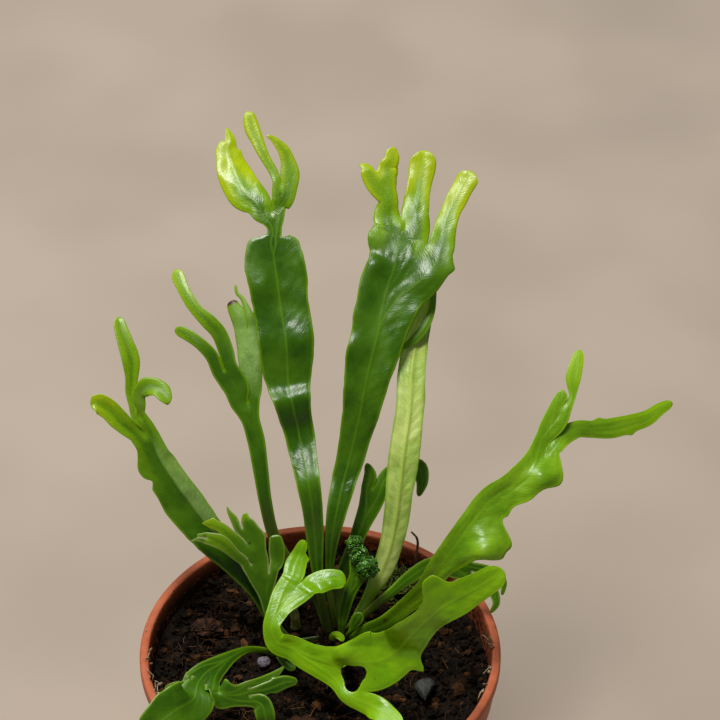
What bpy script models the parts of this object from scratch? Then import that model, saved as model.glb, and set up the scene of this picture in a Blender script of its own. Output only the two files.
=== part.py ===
"""Potted crested bird's nest fern: fork-tipped fronds on a short crown, in a small plastic nursery pot.

Lengths below are in millimetres and are turned into metres where the meshes are made. The origin is
the centre of the pot's flat underside, +Z is up and -Y is the side that the plant shows best.
"""

import math

import bmesh
import bpy
import numpy as np

MM = 0.001
GAP = 0.3  # clearance between pieces that touch

# Pot
POT_HEIGHT = 54.0
RIM_RADIUS = 30.0
LIP_WIDTH = 1.6
LIP_HEIGHT = 2.0
COLLAR_HEIGHT = 8.0
COLLAR_STEP = 1.2
BASE_RADIUS = 21.2
WALL = 1.0
FLOOR = 1.2
DRAIN_HOLES = 6
DRAIN_RADIUS = 2.2
DRAIN_CIRCLE = 14.5
ROUND_STEPS = 48

# Soil: its level at the edge, and what the mounds add
SOIL_LEVEL = 49.6
BACK_MOUND = 2.0
HEART_MOUND = 0.9
SOIL_WAVE = 0.35
SOIL_RINGS = 8

# Crown: the short upright rhizome that every frond grows from
CROWN_X = 2.4
CROWN_Y = 4.0
CROWN_Z = 53.0
CROWN_STEPS = 24

# Fronds: they fan out in a sheet that leans back from the crown and bows forward halfway up
FAN_LEAN = math.radians(40.0)
FAN_BOW = 4.5
FAN_SPAN = 70.0
FROND_THICKNESS = 0.6
FROND_COLUMNS = 8
ROW_STEP = 4.0
KEEL = 0.25  # how deep a blade is folded along its midrib, in half widths
TIP_LENGTH = 1.6  # rounding at a ribbon's end, in half widths

COLLECTION = "potted_crested_fern"
CUTTERS = "potted_crested_fern_cutters"


def ribbon(*stations, **more):
    """A strip of blade. A station is (right, up the fan, forward, half width) from the crown."""
    return dict(stations=list(stations), **more)


def fork(low, high, *stations, **more):
    """A branch that takes the share low..high of its parent's width, counted from the left edge."""
    return dict(share=(low, high), stations=list(stations), **more)


FRONDS = {
    "frond_tall_left": ribbon(
        (-1.1, 0.6, 0.2, 0.7), (-2.4, 7.5, 0.8, 0.7), (-3, 12.5, 1.4, 1.1), (-3.3, 17.5, 2, 1.5),
        (-4.3, 26, 2.6, 2.0), (-6.2, 36, 3, 2.6), (-7.6, 42, 3, 3.6), (-7.9, 48, 2.8, 4.5),
        (-9.1, 56, 2.3, 4.8), (-9.6, 60, 1.9, 5.1), (-10.3, 64.5, 1.3, 4.4), (-10.3, 66.4, 1, 3.3),
        (-10.2, 67, 1, 1.4), (-10.2, 69, 0.8, 1.5), (-10.4, 70.6, 0.6, 2.6), roll=(-6, 8),
        forks=[
            fork(0, 0.5, (-12.8, 72.2, 0.6, 1.9), (-14.5, 74.2, 0.6, 2.4), (-16.5, 77.3, 0.2, 3.0),
                 (-17.9, 81.2, -0.6, 2.0), (-18.2, 85.2, -2, 0.6)),
            fork(0.5, 1, (-8.9, 73.4, 0.5, 2.0), (-8.4, 75.6, 0.2, 2.2), forks=[
                fork(0, 0.5, (-10.4, 78.6, -0.5, 0.9), (-12.2, 81.8, -1.6, 1.0),
                     (-13.9, 85.6, -2.8, 1.2), (-14.9, 88, -3.4, 0.8)),
                fork(0.5, 1, (-7.5, 78, -0.2, 1.5), (-7.7, 80.6, 0, 1.3), (-9.2, 82.5, 0.8, 0.7),
                     (-11.5, 84, 1.4, 0.4))])]),
    "frond_tall_right": ribbon(
        (0.3, 1.3, -0.7, 0.5), (-0.9, 7.5, -0.6, 0.6), (-0.8, 12.5, 0, 0.8), (-0.3, 17.5, 0.6, 1.3),
        (0.8, 23.3, 1.1, 1.9), (2.5, 30, 1.5, 2.3), (3.9, 36, 1.6, 2.9), (5.3, 43.3, 1.5, 3.9),
        (6.7, 49, 1.3, 4.5), (8.0, 54, 1, 4.9), (9.6, 58, 0.7, 5.6), (12.2, 61.8, 0.3, 6.9),
        roll=(8, -4),
        forks=[
            fork(0, 0.375, (9.3, 66.4, 0.2, 2.5), (8.9, 70, 0, 2.1), (8.3, 72.6, -0.4, 1.7),
                 (8.0, 75, -0.8, 2.2), forks=[
                     fork(0, 0.34, (5.8, 77.4, -1, 1.0), (4.3, 79, -1.2, 1.0)),
                     fork(0.34, 1, (9.4, 78.4, -1.4, 1.1), (9.8, 82, -2.4, 0.9))]),
            fork(0.375, 0.75, (13.8, 67, 0.6, 2.5), (14.3, 71, 0.6, 2.5), (14.1, 74.8, 0.2, 1.9),
                 (14.5, 78.6, -1, 2.1), (15, 82, -2.4, 2.0)),
            fork(0.75, 1, (18.2, 65.8, 0.2, 2.3), (19.3, 69.6, 0, 1.7), (20.7, 72.8, -0.4, 1.6),
                 (22.3, 76, -1.2, 1.8), (23.6, 78.2, -2.2, 1.5))]),
    "frond_pale": ribbon(
        (2.1, 0.7, -1.5, 0.5), (3.6, 3.2, -0.9, 0.7), (5.6, 6.6, -0.3, 1.0), (7.6, 10.5, 0.2, 1.7),
        (9.2, 15, 0.8, 1.9), (10.2, 20, 1.1, 2.1), (10.8, 25, 1.4, 2.3), (11.6, 31.7, 1.3, 2.6),
        (12.5, 38.3, 0.4, 2.4), (12.8, 44.2, -1, 2.3), (13.5, 49.2, -2.6, 2.0), (14.8, 53.3, -3.8, 1.6),
        (15.8, 57, -4, 1.1), (15.6, 58.5, -3, 1.0), (14.4, 55.8, -2, 1.0), (13.2, 51.7, -1.5, 1.1),
        (11.7, 48.5, -1.4, 0.6), face=(0, 0, -1)),
    "frond_short_back": ribbon(
        (0.4, 1.5, -2.2, 0.5), (0.4, 6.7, -2.8, 0.7), (1.4, 10.5, -3, 1.1), (2.9, 14.2, -3.2, 1.2),
        (4.4, 18.3, -3.2, 1.4), (5.9, 22, -3.2, 1.9), (6.7, 24.5, -3.2, 2.3), forks=[
            fork(0, 0.4, (5.9, 26.8, -3.2, 1.1), (5.3, 29, -3.4, 0.4)),
            fork(0.4, 1, (8.8, 26.8, -3.8, 1.3), (11.7, 28.4, -4.5, 1.3), (14.0, 28.2, -4.7, 1.4),
                 (14.6, 26.2, -4.2, 1.1), (14.0, 23.4, -3.4, 0.4))]),
    "frond_arching": ribbon(
        (2.3, -0.9, 0.4, 0.6), (5, 1, 2.4, 1.1), (8.3, 2.8, 6, 1.3), (11.7, 5.8, 9, 1.4),
        (14.8, 8.7, 11, 1.5), (17.6, 12.6, 13, 1.7), (20.1, 16.4, 14, 2.0), (22.6, 20, 15, 2.3), forks=[
            fork(0, 0.75, (25.4, 23, 14.5, 2.2), (28.6, 25.6, 13, 2.2), forks=[
                fork(0, 0.67, (31.8, 28.8, 10, 2.0), (34.4, 32.3, 8, 2.1), forks=[
                    fork(0, 0.5, (36.1, 36.6, 6, 1.4), (37.6, 39.4, 5, 1.4), forks=[
                        fork(0, 0.5, (37.4, 41.8, 4.5, 0.9)),
                        fork(0.5, 1, (38.9, 40.8, 4, 0.6), (39.3, 43.4, 3, 1.0), (40, 46.2, 2, 1.0),
                             (40.9, 48.4, 1, 0.5))]),
                    fork(0.5, 1, (39.1, 33.8, 6, 1.2), (42.7, 34.6, 4, 1.3), (46, 34.8, 3, 1.7),
                         (49.5, 35.6, 2, 1.4), (52.4, 37.2, 1, 0.9), (54.8, 38.8, 0, 0.9),
                         (56.3, 40, 0, 0.9))]),
                fork(0.67, 1, (30.8, 25.3, 14, 1.6), (33.8, 25, 15, 2.1), (36.2, 26.6, 14.5, 1.9),
                     (36.4, 29, 13, 0.9))]),
            fork(0.75, 1, (25.4, 20.8, 14, 1.2), (28.7, 21.6, 12, 1.3), (31.5, 23.2, 10, 0.5))]),
    "frond_low_right": ribbon(
        (2.4, -0.1, -0.6, 0.45), (4, 2.6, 0.6, 0.5), (6.6, 5.2, 1.2, 0.7), (9.5, 7.6, 1, 0.8),
        (12.5, 10, 0.4, 1.1), (15.8, 12.0, -0.4, 1.2), (20, 11.6, -0.8, 1.8), (23, 10.8, -0.5, 1.7), forks=[
            fork(0, 0.5, (26.2, 10.8, 0, 0.9), (28.2, 9.2, 0.3, 0.5), (27.9, 7.0, 0.5, 0.3)),
            fork(0.5, 1, (25.2, 9.0, 0, 0.9), (26.7, 7.0, 0.5, 0.8), (26.9, 5.6, 1, 0.6),
                 (26.0, 4.1, 1.2, 0.3))]),
    "frond_front": ribbon(
        (1.3, -1.9, 1.3, 0.9), (1.6, -2.2, 6, 1.2), (1.9, -2.3, 10, 2.3), (2.2, -2.3, 13.6, 4.0),
        face=(0, 1, 0.2), columns=10,
        forks=[
            fork(0, 0.4, (6, -2.4, 16.6, 3.6), (8.6, -2.4, 19.6, 4.3), (11.3, -0.8, 23, 3.9),
                 face=(0, 0.2, 1), forks=[
                     fork(0, 0.75, (14.4, 2.8, 26, 2.3), (17.3, 6.5, 28, 1.7), (20.2, 9.6, 29.5, 2.4),
                          forks=[
                              fork(0, 0.34, (19.4, 12.9, 30, 1.5), (18.5, 15.9, 29.5, 1.3)),
                              fork(0.34, 0.67, (22.1, 14.4, 30.5, 2.1), (23.4, 18, 31, 2.0),
                                   (24, 21, 30, 1.4)),
                              fork(0.67, 1, (24.5, 13, 31, 1.9), (26.9, 15.6, 32, 2.0),
                                   (28.4, 17.9, 31, 1.3))]),
                     fork(0.75, 1, (13.3, -1.6, 22.5, 1.0), (15, -1.2, 21.5, 0.7))]),
            fork(0.4, 0.6, (0.6, -4.3, 17.6, 2.5), (2, -6.4, 20.5, 2.6), (3.9, -8.4, 23, 2.2),
                 (6.6, -9.9, 25, 1.8), (9.4, -11.5, 26, 1.2), face=(0, 0.2, 1)),
            fork(0.6, 1, (-1.5, -1.5, 13.6, 2.9), (-4.8, -0.7, 11.3, 2.4), (-7.3, 0, 9.5, 2.1),
                 (-9.7, 0.7, 7.6, 1.8), (-10.4, 2.7, 6.4, 1.5), (-9.5, 5.3, 5.5, 1.9),
                 (-7.9, 8.2, 5, 2.7), face=(0, 0.2, 1), forks=[
                     fork(0, 0.5, (-6.5, 11.5, 4.2, 1.6), (-5.8, 14.1, 3.4, 1.0), (-5.1, 15.6, 3, 0.6)),
                     fork(0.5, 1, (-4.1, 8.9, 5, 1.9), (-1.6, 9.2, 5.8, 1.7), (0.6, 10, 6.4, 1.1))])]),
    "frond_low_left": ribbon(
        (-1.2, -2.1, 1.3, 0.5), (-5.2, -3.2, 5, 0.5), (-9, -2.4, 7, 0.5), (-11.9, -1.3, 9, 0.5),
        (-14.6, -1.1, 11, 0.6), (-17, -2, 13, 0.9), (-18.8, -3.9, 15, 1.9), (-20, -6.4, 17, 3.1), forks=[
            fork(0, 0.375, (-17, -7.4, 18.5, 1.5), (-14.4, -7.0, 18, 1.3), (-12, -6.2, 17, 2.1), forks=[
                fork(0, 0.34, (-9.2, -3.8, 16, 0.5), (-8.1, -2.4, 15, 0.4)),
                fork(0.34, 0.67, (-8.4, -5.1, 16, 1.2), (-5.9, -5.2, 15.5, 0.9)),
                fork(0.67, 1, (-11, -8.8, 17.5, 1.3), (-10.8, -11.2, 18, 1.6), (-10.7, -13.7, 17, 1.2))]),
            fork(0.375, 0.75, (-23, -9.6, 20.5, 3.6), (-26.4, -12.4, 23, 3.7), (-30.6, -15.6, 25.5, 2.4)),
            fork(0.75, 1, (-24, -5.9, 19, 1.2), (-27.4, -6.6, 18.5, 0.8))]),
    "frond_fan": ribbon(
        (-2.3, -0.9, 0.3, 0.5), (-6.2, -0.8, 1.4, 0.6), (-9.8, 2.4, 2, 0.8), (-11.6, 6, 2.2, 1.0),
        (-12.2, 8.6, 2.2, 2.2), (-12.2, 10.8, 2, 3.6), columns=10, forks=[
            fork(0, 0.2, (-16.5, 13, 2.5, 1.2), (-20, 15.3, 2.5, 1.2), (-23.8, 16.2, 2, 0.5)),
            fork(0.2, 0.4, (-16, 15, 2, 1.1), (-19.2, 17.5, 1.5, 1.0), (-22.2, 18.7, 1, 0.4)),
            fork(0.4, 0.6, (-15, 16.5, 1.5, 1.1), (-17, 19.5, 1, 0.8), (-18, 21.8, 0.5, 0.3)),
            fork(0.6, 0.8, (-12.8, 15.5, 1.5, 1.4), (-14, 18.3, 1, 1.1), (-15.2, 20.9, 0.5, 0.4)),
            fork(0.8, 1, (-10.4, 14, 1.5, 1.5), (-10.4, 16.6, 1, 1.1))]),
    "frond_long_left": ribbon(
        (-2.3, 0.3, -1.1, 0.6), (-7.3, 0.4, -1.6, 0.8), (-10.4, 3.2, -1.3, 0.9), (-13.2, 7.6, -1, 1.2),
        (-17.5, 13.2, -0.5, 2.3), (-22.3, 18.7, 0, 3.1), (-24.7, 21.8, 0.3, 3.4), (-27.1, 25.3, 0.5, 3.2),
        (-29.6, 29.2, 0.5, 2.9), (-30.8, 32.5, 0.5, 2.3), (-31.4, 34, 0.5, 1.9), roll=(4, 10), forks=[
            fork(0, 0.5, (-34.2, 35.4, 1, 1.4), (-36.4, 36.6, 1.5, 1.6), (-39, 38.1, 2, 1.6),
                 (-40.4, 39, 2.3, 1.2)),
            fork(0.5, 1, (-32.0, 37.8, 0.3, 1.2), forks=[
                fork(0, 0.5, (-33.4, 43, 0, 1.1), (-33.9, 46, 0, 1.3), (-35.1, 50, -0.5, 1.1),
                     (-36.5, 53.8, -1, 0.8)),
                fork(0.5, 1, (-32.0, 40.4, 1, 1.0), (-30.8, 41.5, 2, 1.2), (-28.7, 41.1, 3, 1.3),
                     (-27.6, 39.0, 3.5, 1.0))])]),
    "frond_back_left": ribbon(
        (-1.5, 1.1, -2, 0.55), (-3.2, 6, -3, 0.7), (-6.8, 11, -3.2, 0.9), (-10.2, 16.7, -3.2, 1.0),
        (-11.6, 22.5, -3, 1.1), (-12.4, 28, -3, 1.3), (-13.2, 33, -3, 1.5), (-14.1, 36.5, -3, 1.8),
        (-15.1, 40, -3, 2.8), roll=(0, -6), forks=[
            fork(0, 0.5, (-17.6, 43.4, -3, 2.0), (-18.9, 45.8, -3, 2.1), forks=[
                fork(0, 0.5, (-22, 48.2, -3, 1.4), (-24.9, 50.4, -3.4, 1.2), (-27, 51.3, -4, 1.2)),
                fork(0.5, 1, (-18.9, 49.2, -3, 1.6), (-20.2, 52.2, -3, 1.5), (-22.8, 55.4, -3.4, 1.6),
                     (-25.6, 58.8, -4, 1.3), (-27.6, 62.4, -5, 0.9))]),
            fork(0.5, 1, (-14.2, 44.6, -3, 2.0), (-14.4, 48.5, -3, 1.8), (-14.9, 51.5, -3, 1.7), forks=[
                fork(0, 0.67, (-16.4, 54, -3, 1.0), (-17.2, 56, -3.2, 1.0)),
                fork(0.67, 1, (-14.6, 54.6, -3, 0.4), (-15.8, 57.2, -3.2, 0.4), (-16.5, 59, -3.4, 0.3))])]),
    "frond_crozier": ribbon(
        (1, 0.2, 1.1, 0.5), (1.5, 4, 1.8, 0.9), (2.4, 7.4, 2, 1.1), (3.6, 10, 1.8, 1.3), forks=[
            fork(0, 0.5, (3.7, 12.4, 1.6, 1.3), (3.8, 14.4, 1.4, 1.0)),
            fork(0.5, 1, (4.8, 11, 2.4, 1.3), (5.4, 11.6, 3, 1.0))]),
}

# The crozier's tightly crisped crests: (right, up the fan, forward, radius)
CRESTS = [(3.9, 14.6, 1.6, 2.1), (5.5, 11.6, 3.2, 2.0)]
CREST_LUMP = 0.14

# Leaflets at the foot of the plant, as ribbons
LEAFLETS = {
    "leaflet_curled": ribbon(
        (-0.5, -0.5, 1.3, 0.3), (-0.5, 0, 2.4, 0.5), (0.1, 0.5, 3.2, 0.6), (1.0, 0.2, 3.7, 0.6),
        (1.4, -0.6, 3.9, 0.4)),
    "leaflet_round": ribbon(
        (1.9, 0.3, 1.3, 0.25), (2.6, 1.2, 2.4, 0.35), (3.3, 2.3, 3, 0.8), (3.9, 3.4, 3.2, 1.0),
        (4.4, 4.3, 3.1, 0.7)),
    "leaflet_dark": ribbon(
        (-10.2, -2.6, -0.6, 0.35), (-10, -2.4, 1.6, 0.5), (-9.2, -2.6, 3.8, 0.8), (-7.9, -4, 4.4, 1.0),
        (-6.6, -5.2, 5, 0.6)),
}

# Round stems: (radius, points from the pot's centre)
STEMS = {
    "stub_old": (0.75, [(-4.3, 8.6, 50.5), (-4.3, 8.7, 52.6), (-4.7, 8.9, 54.9)]),
    "stem_dead": (0.3, [(-6.3, 8.3, 50.4), (-6.5, 8.4, 52.4), (-6.0, 8.6, 54)]),
    "seedling": (0.3, [(16.2, 22.2, 50.7), (16.2, 22.6, 53.4), (16.7, 23.4, 56.8), (15.4, 23.8, 58.2)]),
}

# Stones, bark and moss that lie on the soil: (x, y, length, width, height, turn in degrees, lumpiness)
LOOSE = {
    "pebble_grey": (17.4, -6.4, 3.6, 4.8, 2.2, 10, 0.06),
    "stone_pale": (-9.4, 0.4, 2.4, 2.2, 1.6, 0, 0.08),
    "bark_left": (-19.0, 8.5, 6.4, 3.4, 1.6, 35, 0.12),
    "bark_front": (-3.0, -14.5, 7.0, 3.8, 1.8, -20, 0.12),
    "bark_right": (12.2, -15.5, 5.2, 3.4, 1.6, 60, 0.12),
    "moss_patch": (14.5, 17.5, 8.4, 6.6, 1.8, 15, 0.05),
}

# Colours are linear: (red, green, blue, roughness)
LOOKS = {
    "pot": (0.43, 0.11, 0.055, 0.45),
    "soil": (0.018, 0.012, 0.008, 0.95),
    "crown": (0.045, 0.028, 0.014, 0.9),
    "frond_pale": (0.36, 0.52, 0.12, 0.45),
    "frond_front": (0.21, 0.45, 0.02, 0.35),
    "frond_arching": (0.17, 0.38, 0.03, 0.35),
    "frond": (0.055, 0.2, 0.015, 0.35),
    "leaflet": (0.04, 0.12, 0.02, 0.4),
    "stub_old": (0.35, 0.36, 0.13, 0.6),
    "stem_dead": (0.05, 0.03, 0.02, 0.8),
    "seedling": (0.11, 0.05, 0.03, 0.6),
    "pebble_grey": (0.13, 0.13, 0.125, 0.75),
    "stone_pale": (0.33, 0.31, 0.36, 0.6),
    "bark": (0.06, 0.028, 0.014, 0.95),
    "moss_patch": (0.07, 0.09, 0.02, 0.95),
}


def unit(vectors):
    return vectors / np.maximum(np.linalg.norm(vectors, axis=-1, keepdims=True), 1e-9)


def ease(x):
    x = np.clip(x, 0, 1)
    return x * x * (3 - 2 * x)


def curve_through(stations, at, start_slope):
    """Values and slopes of a smooth curve through the stations, at the lengths 'at' along it."""
    steps = np.linalg.norm(np.diff(stations[:, :3], axis=0), axis=1)
    knots = np.concatenate([[0], np.cumsum(steps)])
    runs = np.diff(stations, axis=0) / steps[:, None]
    before, after = steps[:-1, None], steps[1:, None]
    slopes = np.concatenate([runs[:1], (runs[:-1] * after + runs[1:] * before) / (before + after), runs[-1:]])
    if start_slope is not None:
        slopes[0, :3] = start_slope
    part = np.clip(np.searchsorted(knots, at, side="right") - 1, 0, len(steps) - 1)
    span = steps[part][..., None]
    x = ((at - knots[part]) / steps[part])[..., None]
    start, end = stations[part], stations[part + 1]
    out, into = slopes[part] * span, slopes[part + 1] * span
    values = (
        (2 * x**3 - 3 * x**2 + 1) * start
        + (x**3 - 2 * x**2 + x) * out
        + (3 * x**2 - 2 * x**3) * end
        + (x**3 - x**2) * into
    )
    rates = ((6 * x**2 - 6 * x) * (start - end) + (3 * x**2 - 4 * x + 1) * out + (3 * x**2 - 2 * x) * into) / span
    return values, rates


def rounded_end(along, across, length, half_width):
    """Along and across values of a grid whose last part closes in a round tip."""
    tip = min(TIP_LENGTH * half_width, 0.6 * length)
    u = np.clip((along - (length - tip)) / tip, 0, 1)
    rounded = length - tip + tip * u * np.sqrt(1 - across**2 / 2)
    return np.where(u > 0, rounded, along), across * np.sqrt(1 - u**2 / 2)


def blade_grid(strip, columns, join):
    """Points of one strip as rows of columns + 1, with the side and the heading of its last row."""
    stations = np.array(strip["stations"], float)
    if join:
        edge = join["row"]
        half = np.linalg.norm(edge[-1] - edge[0]) / 2
        stations = np.vstack([[*((edge[0] + edge[-1]) / 2), half], stations])
    length = np.linalg.norm(np.diff(stations[:, :3], axis=0), axis=1).sum()
    rows = max(2, round(length / ROW_STEP))
    across = np.broadcast_to(np.linspace(-1, 1, columns + 1), (rows + 1, columns + 1))
    start = np.linspace(0, length, rows + 1)[:, None]
    along = np.broadcast_to(start, across.shape)
    if not strip.get("forks"):
        along, across = rounded_end(along, across, length, stations[-1, 3])
    place, rate = curve_through(stations, along, join["heading"] if join else None)
    heading = unit(rate[..., :3])
    side = unit(np.cross(heading, strip["face"]))
    up = np.cross(side, heading)
    low_roll, high_roll = strip["roll"]
    roll = np.radians(low_roll + (high_roll - low_roll) * along / length)[..., None]
    side = np.cos(roll) * side - np.sin(roll) * up
    if join:
        turned = ease(along / (2.5 * half))[..., None]
        side = unit(side * turned + join["side"] * (1 - turned))
        side = unit(side - heading * (side * heading).sum(-1, keepdims=True))
    up = np.cross(side, heading)
    width = np.maximum(place[..., 3:4], 0.02)
    offset = across[..., None]
    points = place[..., :3] + side * width * offset + up * KEEL * width * (np.sqrt(offset**2 + 0.03) - 0.45)
    if join:
        fade = 1 - ease(start / (2 * half))
        points = points + (edge - points[:1]) * fade[..., None]
    middle = columns // 2
    return points, side[-1], heading[-1, middle]


def frond_sheet(tree):
    """The open sheet of a whole frond, as points and quads: each fork grows from its parent's last row."""
    points, quads = [], []

    def grow(strip, columns, join=None):
        grid, side, heading = blade_grid(strip, columns, join)
        numbers = len(points) + np.arange(grid.size // 3).reshape(grid.shape[:2])
        if join:
            numbers = numbers - (columns + 1)
            numbers[0] = join["numbers"]
            grid = grid[1:]
        points.extend(map(tuple, grid.reshape(-1, 3)))
        corners = (numbers[:-1, :-1], numbers[:-1, 1:], numbers[1:, 1:], numbers[1:, :-1])
        quads.extend(map(tuple, np.stack(corners, -1).reshape(-1, 4).tolist()))
        for branch in strip.get("forks", []):
            low, high = (round(share * columns) for share in branch["share"])
            branch = {"face": strip["face"], "roll": (strip["roll"][1],) * 2, **branch}
            grow(branch, high - low, {
                "row": grid[-1, low:high + 1],
                "numbers": numbers[-1, low:high + 1],
                "side": side[(low + high) // 2],
                "heading": heading,
            })

    grow({"face": (0, 0, 1), "roll": (0, 0), **tree}, tree.get("columns", FROND_COLUMNS))
    return np.array(points), quads


def from_fan(points):
    """World places of points given as (right, up the fan, forward) from the crown."""
    right, up, forward = np.asarray(points, float).T
    forward = forward + FAN_BOW * np.sin(np.pi * np.maximum(up, 0) / FAN_SPAN)
    lean, rise = math.sin(FAN_LEAN), math.cos(FAN_LEAN)
    return np.stack([
        CROWN_X + right,
        CROWN_Y + up * lean - forward * rise,
        CROWN_Z + up * rise + forward * lean,
    ], axis=-1)


def soil_height(x, y):
    """Height of the soil, which is mounded at the back and round the crown."""
    back = BACK_MOUND * np.exp(-((x - 4) ** 2 + (y - 21) ** 2) / 130)
    heart = HEART_MOUND * np.exp(-((x - CROWN_X) ** 2 + (y - CROWN_Y) ** 2) / 50)
    wave = SOIL_WAVE * np.sin(0.31 * x + 0.8) * np.cos(0.27 * y - 0.5)
    return SOIL_LEVEL + back + heart + wave


def finish(name):
    """A Principled material in the colour of the named piece, or of its kind."""
    red, green, blue, roughness = LOOKS.get(name) or LOOKS[name.split("_")[0]]
    material = bpy.data.materials.new(name)
    material.use_nodes = True
    shader = material.node_tree.nodes["Principled BSDF"]
    shader.inputs["Base Color"].default_value = (red, green, blue, 1)
    shader.inputs["Roughness"].default_value = roughness
    shader.inputs["Metallic"].default_value = 0
    return material


def add_piece(name, mesh, collection=COLLECTION):
    piece = bpy.data.objects.new(name, mesh)
    bpy.data.collections[collection].objects.link(piece)
    if collection == COLLECTION:
        mesh.materials.append(finish(name))
    else:
        piece.hide_render = True
        piece.display_type = "WIRE"
    return piece


def mesh_of(name, points, edges=(), faces=()):
    mesh = bpy.data.meshes.new(name)
    mesh.from_pydata([[c * MM for c in point] for point in points], edges, faces)
    return mesh


def turned(name, profile, steps, collection=COLLECTION):
    """A piece turned about Z from (radius, height) points that run down its outer side."""
    points = [(radius, 0, height) for radius, height in profile]
    edges = [(i, i + 1) for i in range(len(points) - 1)]
    piece = add_piece(name, mesh_of(name, points, edges), collection)
    screw = piece.modifiers.new("turn", "SCREW")
    screw.axis = "Z"
    screw.steps = steps
    screw.render_steps = steps
    screw.use_merge_vertices = True
    screw.merge_threshold = 0.00001
    screw.use_smooth_shade = True
    return piece


def cut(piece, cutter):
    boolean = piece.modifiers.new("cut", "BOOLEAN")
    boolean.operation = "DIFFERENCE"
    boolean.object = cutter


def settled(piece):
    """The piece with its modifiers made part of its mesh."""
    evaluated = piece.evaluated_get(bpy.context.evaluated_depsgraph_get())
    mesh = bpy.data.meshes.new_from_object(evaluated)
    piece.modifiers.clear()
    piece.data = mesh
    return piece


def inner_wall():
    """(radius, height) points down the pot's inside, from the lip to the floor."""
    collar_foot = POT_HEIGHT - COLLAR_HEIGHT
    inside = BASE_RADIUS - WALL
    return [
        (RIM_RADIUS - LIP_WIDTH, POT_HEIGHT - 0.8),
        (RIM_RADIUS - LIP_WIDTH - 0.3, collar_foot + 0.4),
        (RIM_RADIUS - LIP_WIDTH - COLLAR_STEP - 0.3, collar_foot - 0.8),
        (inside + 0.1, FLOOR + 0.8),
        (inside - 0.6, FLOOR),
    ]


def make_pot():
    collar_foot = POT_HEIGHT - COLLAR_HEIGHT
    collar = RIM_RADIUS - 0.8
    lip_middle = RIM_RADIUS - LIP_WIDTH / 2
    profile = [
        (0, FLOOR),
        *reversed(inner_wall()),
        (RIM_RADIUS - LIP_WIDTH + 0.25, POT_HEIGHT - 0.25),
        (lip_middle, POT_HEIGHT),
        (RIM_RADIUS - 0.25, POT_HEIGHT - 0.25),
        (RIM_RADIUS, POT_HEIGHT - 0.8),
        (RIM_RADIUS, POT_HEIGHT - LIP_HEIGHT),
        (collar, POT_HEIGHT - LIP_HEIGHT - 0.4),
        (collar - 0.2, collar_foot + 0.2),
        (collar - COLLAR_STEP, collar_foot - 0.8),
        (BASE_RADIUS, 1.2),
        (BASE_RADIUS - 0.4, 0.3),
        (BASE_RADIUS - 1.2, 0),
        (0, 0),
    ]
    pot = turned("pot", profile, ROUND_STEPS)
    holes = bmesh.new()
    for number in range(DRAIN_HOLES):
        angle = 2 * math.pi * number / DRAIN_HOLES
        hole = bmesh.ops.create_cone(
            holes, cap_ends=True, segments=16, radius1=DRAIN_RADIUS * MM, radius2=DRAIN_RADIUS * MM,
            depth=4 * FLOOR * MM)
        centre = (DRAIN_CIRCLE * MM * math.cos(angle), DRAIN_CIRCLE * MM * math.sin(angle), 0)
        bmesh.ops.translate(holes, verts=hole["verts"], vec=centre)
    mesh = bpy.data.meshes.new("drain_cutter")
    holes.to_mesh(mesh)
    holes.free()
    cut(pot, add_piece("drain_cutter", mesh, CUTTERS))


def crown_profile(grow):
    """The crown's outline, grown by the given clearance."""
    top = [(0, 0.3), (0.9, 0.2), (1.7, -0.3), (2.2, -1.2), (2.6, -2.6), (2.8, -4.2)]
    foot = [(2.5, -5.8), (1.6, -6.7), (0, -7)]
    return [
        *((radius + grow * (radius > 0), height + grow) for radius, height in top),
        *((radius + grow * (radius > 0), height - grow) for radius, height in foot),
    ]


def make_crown():
    crown = turned("crown", crown_profile(0), CROWN_STEPS)
    cutter = turned("crown_cutter", crown_profile(GAP), CROWN_STEPS, CUTTERS)
    for piece in (crown, cutter):
        piece.location = (CROWN_X * MM, CROWN_Y * MM, CROWN_Z * MM)
    return cutter


def make_soil(crown_cutter):
    wall = [(radius - GAP, height) for radius, height in inner_wall()[1:]]
    edge = wall[0][0] - 0.1
    top = [(edge * ring / SOIL_RINGS, SOIL_LEVEL) for ring in range(SOIL_RINGS + 1)]
    floor = FLOOR + GAP
    foot = wall[-1][0]
    soil = turned("soil", [*top, *wall[:-1], (foot, floor), (0, floor)], ROUND_STEPS)
    settled(soil)
    for vertex in soil.data.vertices:
        x, y, z = vertex.co / MM
        if abs(z - SOIL_LEVEL) < 0.01:
            vertex.co.z = soil_height(x, y) * MM
    cut(soil, crown_cutter)


def make_frond(name, tree):
    points, quads = frond_sheet(tree)
    piece = add_piece(name, mesh_of(name, from_fan(points), faces=quads))
    thicken = piece.modifiers.new("thickness", "SOLIDIFY")
    thicken.thickness = FROND_THICKNESS * MM
    thicken.offset = 0
    piece.data.shade_smooth()
    return piece


def lumpy_ball(name, size, lumps, rings=8, turn=0.0, collection=COLLECTION):
    """A ball of the given (x, y, z) size, turned about Z, its radius waving by the share 'lumps'."""
    ball = bmesh.new()
    bmesh.ops.create_uvsphere(ball, u_segments=2 * rings, v_segments=rings, radius=0.5)
    for vertex in ball.verts:
        x, y, z = vertex.co * 2
        wave = math.sin(5.1 * x + 2.3 * z) + math.sin(4.3 * y - 3.1 * x + 1) + math.sin(6.7 * z + 3.7 * y)
        radius = 1 + lumps * wave / 1.5
        along, aside = vertex.co.x * size[0] * radius, vertex.co.y * size[1] * radius
        vertex.co.x = (along * math.cos(turn) - aside * math.sin(turn)) * MM
        vertex.co.y = (along * math.sin(turn) + aside * math.cos(turn)) * MM
        vertex.co.z *= size[2] * radius * MM
    mesh = bpy.data.meshes.new(name)
    ball.to_mesh(mesh)
    ball.free()
    mesh.shade_smooth()
    return add_piece(name, mesh, collection)


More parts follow.
